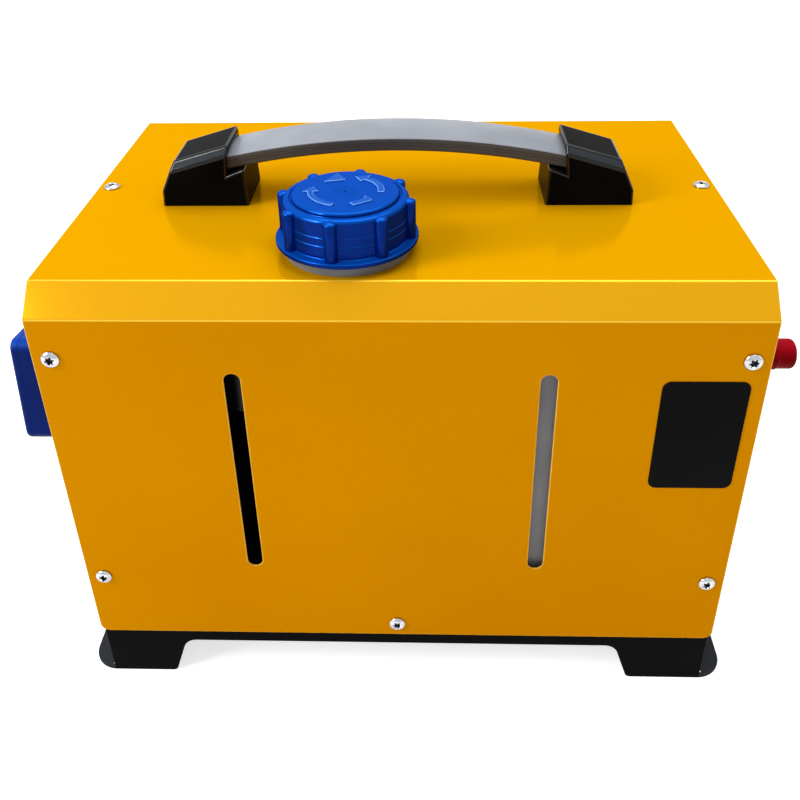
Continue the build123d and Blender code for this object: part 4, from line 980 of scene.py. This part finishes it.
cap_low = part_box("fuel_cap")[0]
ring_low, ring_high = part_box("neck_ring")
cap_x = (ring_low.x + ring_high.x) / 2
cap_y = (ring_low.y + ring_high.y) / 2
cap_segments = 192
cap_sharp = 30
flange_radius = 0.0388
flange_height = 0.0026
flange_round = 0.0006
flange_fillet = 0.0008
skirt_radius = 0.0339
skirt_lines = (0.0145, 0.0098)
skirt_line_half = 0.0003
skirt_line_relief = 0.0002
shoulder_height = 0.0312
shoulder_round = 0.0026
dial_radius = 0.0289
dial_round = 0.0016
dial_height = 0.0331
groove_width = 0.0007
cap_bore_radius = 0.0303
cap_roof = 0.0290
rib_count = 8
rib_radius = 0.0034
rib_reach = 0.0379
rib_start = radians(-99.0)
rib_end_share = 0.55
rib_foot = 0.0005
rib_sunk = 0.0003
rib_proud = 0.0001
mark_relief = 0.0008
mark_sunk = 0.0001
mark_round = 0.00034
barb = 2.6
gate_radius = 0.0008
gate_wall = 0.0002
gate_depth = 0.0006
gate_rings = (0.0024, 0.0043, 0.0064)
ring_relief = 0.0002
ring_foot = 0.0003
ring_top = 0.0001


def turned_solid(profile, segments, centre):
    """A solid turned from (radius, height) points about an upright axis."""
    shape = bmesh.new()
    rings = []
    for radius, height in profile:
        turns = [2 * pi * step / segments for step in range(segments if radius > weld else 1)]
        rings.append([
            shape.verts.new((centre[0] + radius * cos(turn), centre[1] + radius * sin(turn), height))
            for turn in turns
        ])
    joined(shape, rings, ends=False)
    return shape


def cap_profile():
    """Section from the middle of the dial over shoulder, skirt and flange to bore and roof."""
    base = cap_low.z
    flange_top = base + flange_height
    face = top_z + dial_height
    shoulder = top_z + shoulder_height
    roof = top_z + cap_roof
    points = [(0, face - gate_depth), (gate_radius - gate_wall, face - gate_depth), (gate_radius, face)]
    for ring in gate_rings:
        points += [(ring - ring_foot, face), (ring - ring_top, face + ring_relief)]
        points += [(ring + ring_top, face + ring_relief), (ring + ring_foot, face)]
    points += [(dial_radius * share, face) for share in (0.4, 0.6, 0.8)]
    for centre, radius, start, stop, steps in (
        ((dial_radius - dial_round, face - dial_round), dial_round, 90, 8, 7),
        ((dial_radius + groove_width, shoulder), groove_width, 180, 360, 8),
        ((skirt_radius - shoulder_round, shoulder - shoulder_round), shoulder_round, 90, 0, 9),
    ):
        points += arc_points(centre, radius, start, stop, steps)
    for height in [base + line for line in skirt_lines]:
        points += [(skirt_radius, height + skirt_line_half), (skirt_radius + skirt_line_relief, height)]
        points += [(skirt_radius, height - skirt_line_half)]
    for centre, radius, start, stop in (
        ((skirt_radius + flange_fillet, flange_top + flange_fillet), flange_fillet, 180, 270),
        ((flange_radius - flange_round, flange_top - flange_round), flange_round, 90, 0),
        ((flange_radius - flange_round, base + flange_round), flange_round, 0, -90),
    ):
        points += arc_points(centre, radius, start, stop, 4)
    return points + [(cap_bore_radius, base), (cap_bore_radius, roof), (0, roof)]


def rib_tree(material):
    """Upright ribs with rounded ends, evenly spaced on a circle, joined to what comes in."""
    made = ShapeTree("grip_ribs")
    count = made.size("Count", rib_count, "NodeSocketInt")
    radius = made.size("Rib radius", rib_radius)
    reach = made.size("Reach", rib_reach)
    bottom = made.size("Bottom", 0.0)
    top = made.size("Top", 0.02)
    first = made.size("First angle", rib_start)
    ball, (across, along, up) = made.ball(28, 18)
    is_upper = made.sum("GREATER_THAN", up, 0.001)
    is_lower = made.sum("SUBTRACT", 1.0, is_upper)
    end_height = made.sum("MULTIPLY", radius, rib_end_share)
    high = made.sum("ADD", made.sum("SUBTRACT", top, end_height), made.sum("MULTIPLY", up, end_height))
    low = made.sum("ADD", bottom, made.sum("MULTIPLY", up, rib_foot))
    spot = made.step(
        "ShaderNodeCombineXYZ",
        X=made.sum("MULTIPLY", across, radius),
        Y=made.sum("MULTIPLY", along, radius),
        Z=made.sum("ADD", made.sum("MULTIPLY", high, is_upper), made.sum("MULTIPLY", low, is_lower)),
    )
    rib = made.step("GeometryNodeSetPosition", Geometry=ball, Position=spot.outputs[0])
    circle = made.step(
        "GeometryNodeMeshCircle", Vertices=count, Radius=made.sum("SUBTRACT", reach, radius)
    )
    turn = made.step("ShaderNodeCombineXYZ", Z=first)
    where = made.step("ShaderNodeCombineXYZ", X=cap_x, Y=cap_y)
    placed = made.step(
        "GeometryNodeTransform", Geometry=circle.outputs[0], Rotation=turn.outputs[0],
        Translation=where.outputs[0],
    )
    ribs = made.step("GeometryNodeInstanceOnPoints", Points=placed.outputs[0], Instance=rib.outputs[0])
    real = made.step("GeometryNodeRealizeInstances", Geometry=ribs.outputs[0])
    soft = made.step("GeometryNodeSetShadeSmooth", Geometry=real.outputs[0])
    both = made.step("GeometryNodeJoinGeometry")
    for geometry in (made.start.outputs["Geometry"], soft.outputs[0]):
        feed(made.tree, both.inputs[0], geometry)
    return made.end(both.outputs[0], material)


def bent_arrow(start, stop, radius, half, tip):
    """Outline of an arrow that follows a circle, between angles in degrees."""
    way = 1 if stop > start else -1
    head = [(radius + half * barb, stop), (radius, stop + way * tip), (radius - half * barb, stop)]
    return (
        arc_points((0, 0), radius + half, start, stop, 14)
        + [(reach * cos(radians(turn)), reach * sin(radians(turn))) for reach, turn in head]
        + arc_points((0, 0), radius - half, stop, start, 14)
    )


def mark_outlines():
    """Outlines of the raised marks, in shares of the dial's radius: two curved arrows,
    a triangle and a short straight arrow."""
    return [
        bent_arrow(254, 184, 0.64, 0.058, 20),
        bent_arrow(-6, 58, 0.66, 0.062, 20),
        [(-0.43, 0.40), (-0.03, 0.50), (-0.22, 0.80)],
        [(0.20, -0.66), (0.46, -0.49), (0.53, -0.43), (0.38, -0.23), (0.36, -0.38), (0.12, -0.54)],
    ]


# Painted light: faces that face up are a lighter blue than the upright skirt.
cap_blue = coated(
    "cap_gloss_blue", paint(0, 40, 124), paint(0, 35, 114), (0.18, 0.25), 600, 0.08,
    patch=40, metal=0.35, level=0.0, painted_top_light=paint(2, 80, 178),
)
adjust(cap_blue, {"Specular Tint": (0.02, 0.3, 1, 1), "Coat Weight": 0.06, "Coat Roughness": 0.1})
# Painted light: the marks are lighter blue where they face up, with a painted highlight in pale blue
# along their edges.
mark_blue = coated(
    "cap_mark_blue", paint(0, 44, 130), paint(0, 40, 122), (0.18, 0.25), 600, 0.08,
    patch=40, metal=0.35, level=0.0, wear_and_glint=(paint(110, 178, 250), 0.0005, 1.0), turn=(0.999, 0.96),
    painted_top_light=paint(10, 88, 190),
)
# Painted highlight: the marks' eased edges are a pale blue.
mark_edge_highlight = coated(
    "cap_mark_edge_highlight", paint(120, 184, 250), paint(84, 154, 238), (0.15, 0.2), 600, 0.08, level=0.3
)
cap_shape = turned_solid(cap_profile(), cap_segments, (cap_x, cap_y))
filler_cap = as_piece("filler_cap", cap_shape, sharp=cap_sharp)
grow(filler_cap, rib_tree(cap_blue), {
    "Bottom": cap_low.z + flange_height - rib_sunk,
    "Top": top_z + shoulder_height + rib_proud,
})
hand_over(filler_cap, "cap", "fuel_cap")
mark_foot = top_z + dial_height - mark_sunk
for number, outline in enumerate(mark_outlines(), start=1):
    mark = slab(
        f"filler_cap_mark_{number}",
        [(a * dial_radius, b * dial_radius) for a, b in outline],
        lambda across, up, out: (cap_x + across, cap_y + up, mark_foot + out),
        mark_relief + mark_sunk, mark_round, mark_blue, rim=mark_edge_highlight,
    )
    hand_over(mark, "cap")

ring_plastic = coated(
    "ring_pale_plastic", paint(124, 128, 134), paint(116, 120, 126), (0.2, 0.3), 900, 0.1,
    patch=30, level=0.12,
)
eased("neck_ring", 0.0003, ring_plastic, sharp=40.0)


# ---- Hot-air spigot ---------------------------------------------------------------------
# Moulded black flange and spigot that the warm-air hose is pushed onto. A finger guard
# crosses its bore, and four screws hold it to the end panel.

spigot_black = coated(
    "spigot_black", paint(20, 20, 22), paint(26, 26, 28), (0.34, 0.45), 1300, 0.2,
    level=0.2, wear_and_glint=(paint(66, 67, 70), 0.0005, 0.4),
)
eased("duct_ring", 0.0004, spigot_black)


# ---- Controller ---------------------------------------------------------------------------
# Two blue half shells with a parting line, a dark display pane and four grey keys,
# on a thin black plate fixed to the intake end.

# Painted light: faces that face up are a lighter blue.
shell_blue = coated(
    "controller_blue", paint(10, 36, 112), paint(7, 31, 102), (0.24, 0.32), 1500, 0.14,
    patch=30, level=0.04, wear_and_glint=(paint(30, 92, 214), 0.0008, 0.6), painted_top_light=paint(18, 70, 182),
)
display_pane = coated(
    "display_pane", paint(10, 14, 13), paint(15, 19, 18), (0.04, 0.08), 300, 0.01,
    patch=60, level=0.2,
)
key_grey = coated(
    "key_grey", paint(150, 152, 156), paint(140, 142, 147), (0.42, 0.5), 1800, 0.2, patch=90
)
board_green = coated(
    "board_lacquer", paint(22, 68, 42), paint(17, 56, 34), (0.25, 0.4), 1200, 0.1, patch=90
)
for node in ("controller_back", "controller_front"):
    eased(node, 0.0004, shell_blue, sharp=40.0, steps=3)
finished(spigot_black, "controller_holder")
finished(board_green, "controller_board")
eased("controller_display", 0.0003, display_pane, sharp=40.0)
for number in (1, 2, 3, 4):
    eased(f"controller_button_{number}", 0.0002, key_grey, sharp=40.0)


# ---- Power terminals --------------------------------------------------------------------
# Two brass studs in insulating bushes in the end panel, each under a soft vinyl boot
# that is pushed over its nut. One boot is red and the other black.

boot_lip = 0.0005
boot_ridge = 0.0006
boot_step = 0.0092
boot_slope = 0.0010
boot_tip_round = 0.0024
boot_wall = 0.0016
boot_end_wall = 1.5 * boot_wall
boot_segments = 96
boot_sharp = 45

brass = coated(
    "terminal_brass", paint(196, 158, 92), paint(178, 138, 74), (0.22, 0.34), 800, 0.1,
    patch=80, metal=1.0, wear_and_glint=(paint(228, 200, 140), 0.0003, 0.6),
)
# Painted light: the top of the red boot is a brighter red than its lower part.
boot_red = coated(
    "boot_red_vinyl", paint(134, 0, 8), paint(120, 0, 5), (0.42, 0.52), 900, 0.25,
    patch=50, level=0.03, painted_top_light=paint(176, 8, 28),
)
boot_black = coated(
    "boot_black_vinyl", paint(18, 18, 19), paint(24, 24, 25), (0.42, 0.52), 900, 0.25,
    patch=50, level=0.15,
)
finished(brass, "terminal_post_positive", "terminal_post_negative")
finished(jacket_plastic, "terminal_bushes")


def boot_profile(radius, length):
    """Section of a boot along its axis: skirt with a rolled lip, step, rounded tip, bore."""
    bore = radius - boot_wall
    tip = radius - boot_lip
    round_end = length - boot_tip_round
    return (
        [(bore, 0)]
        + arc_points((radius - boot_lip, boot_lip), boot_lip, -90, 0, 4)
        + arc_points((radius - boot_ridge, boot_step - boot_ridge), boot_ridge, 0, 60, 4)
        + [(tip, boot_step + boot_slope), (tip, round_end)]
        + arc_points((tip - boot_tip_round, round_end), boot_tip_round, 6, 90, 8)
        + [(0, length), (0, length - boot_end_wall), (bore, length - boot_end_wall), (bore, 0)]
    )


for colour, material in (("red", boot_red), ("black", boot_black)):
    node = f"terminal_boot_{colour}"
    low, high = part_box(node)
    shape = turned_solid(boot_profile((high.y - low.y) / 2, high.x - low.x), boot_segments, (0, 0))
    bmesh.ops.remove_doubles(shape, verts=shape.verts, dist=weld / 2)
    bmesh.ops.recalc_face_normals(shape, faces=shape.faces)
    seat = Matrix.Translation((low.x, (low.y + high.y) / 2, (low.z + high.z) / 2))
    lay_along_x = Matrix.Rotation(pi / 2, 4, "Y")
    bmesh.ops.transform(shape, matrix=seat @ lay_along_x, verts=shape.verts)
    boot = as_piece(f"{node}_moulding", shape, material, sharp=boot_sharp)
    hand_over(boot, f"boot_{colour}", node)
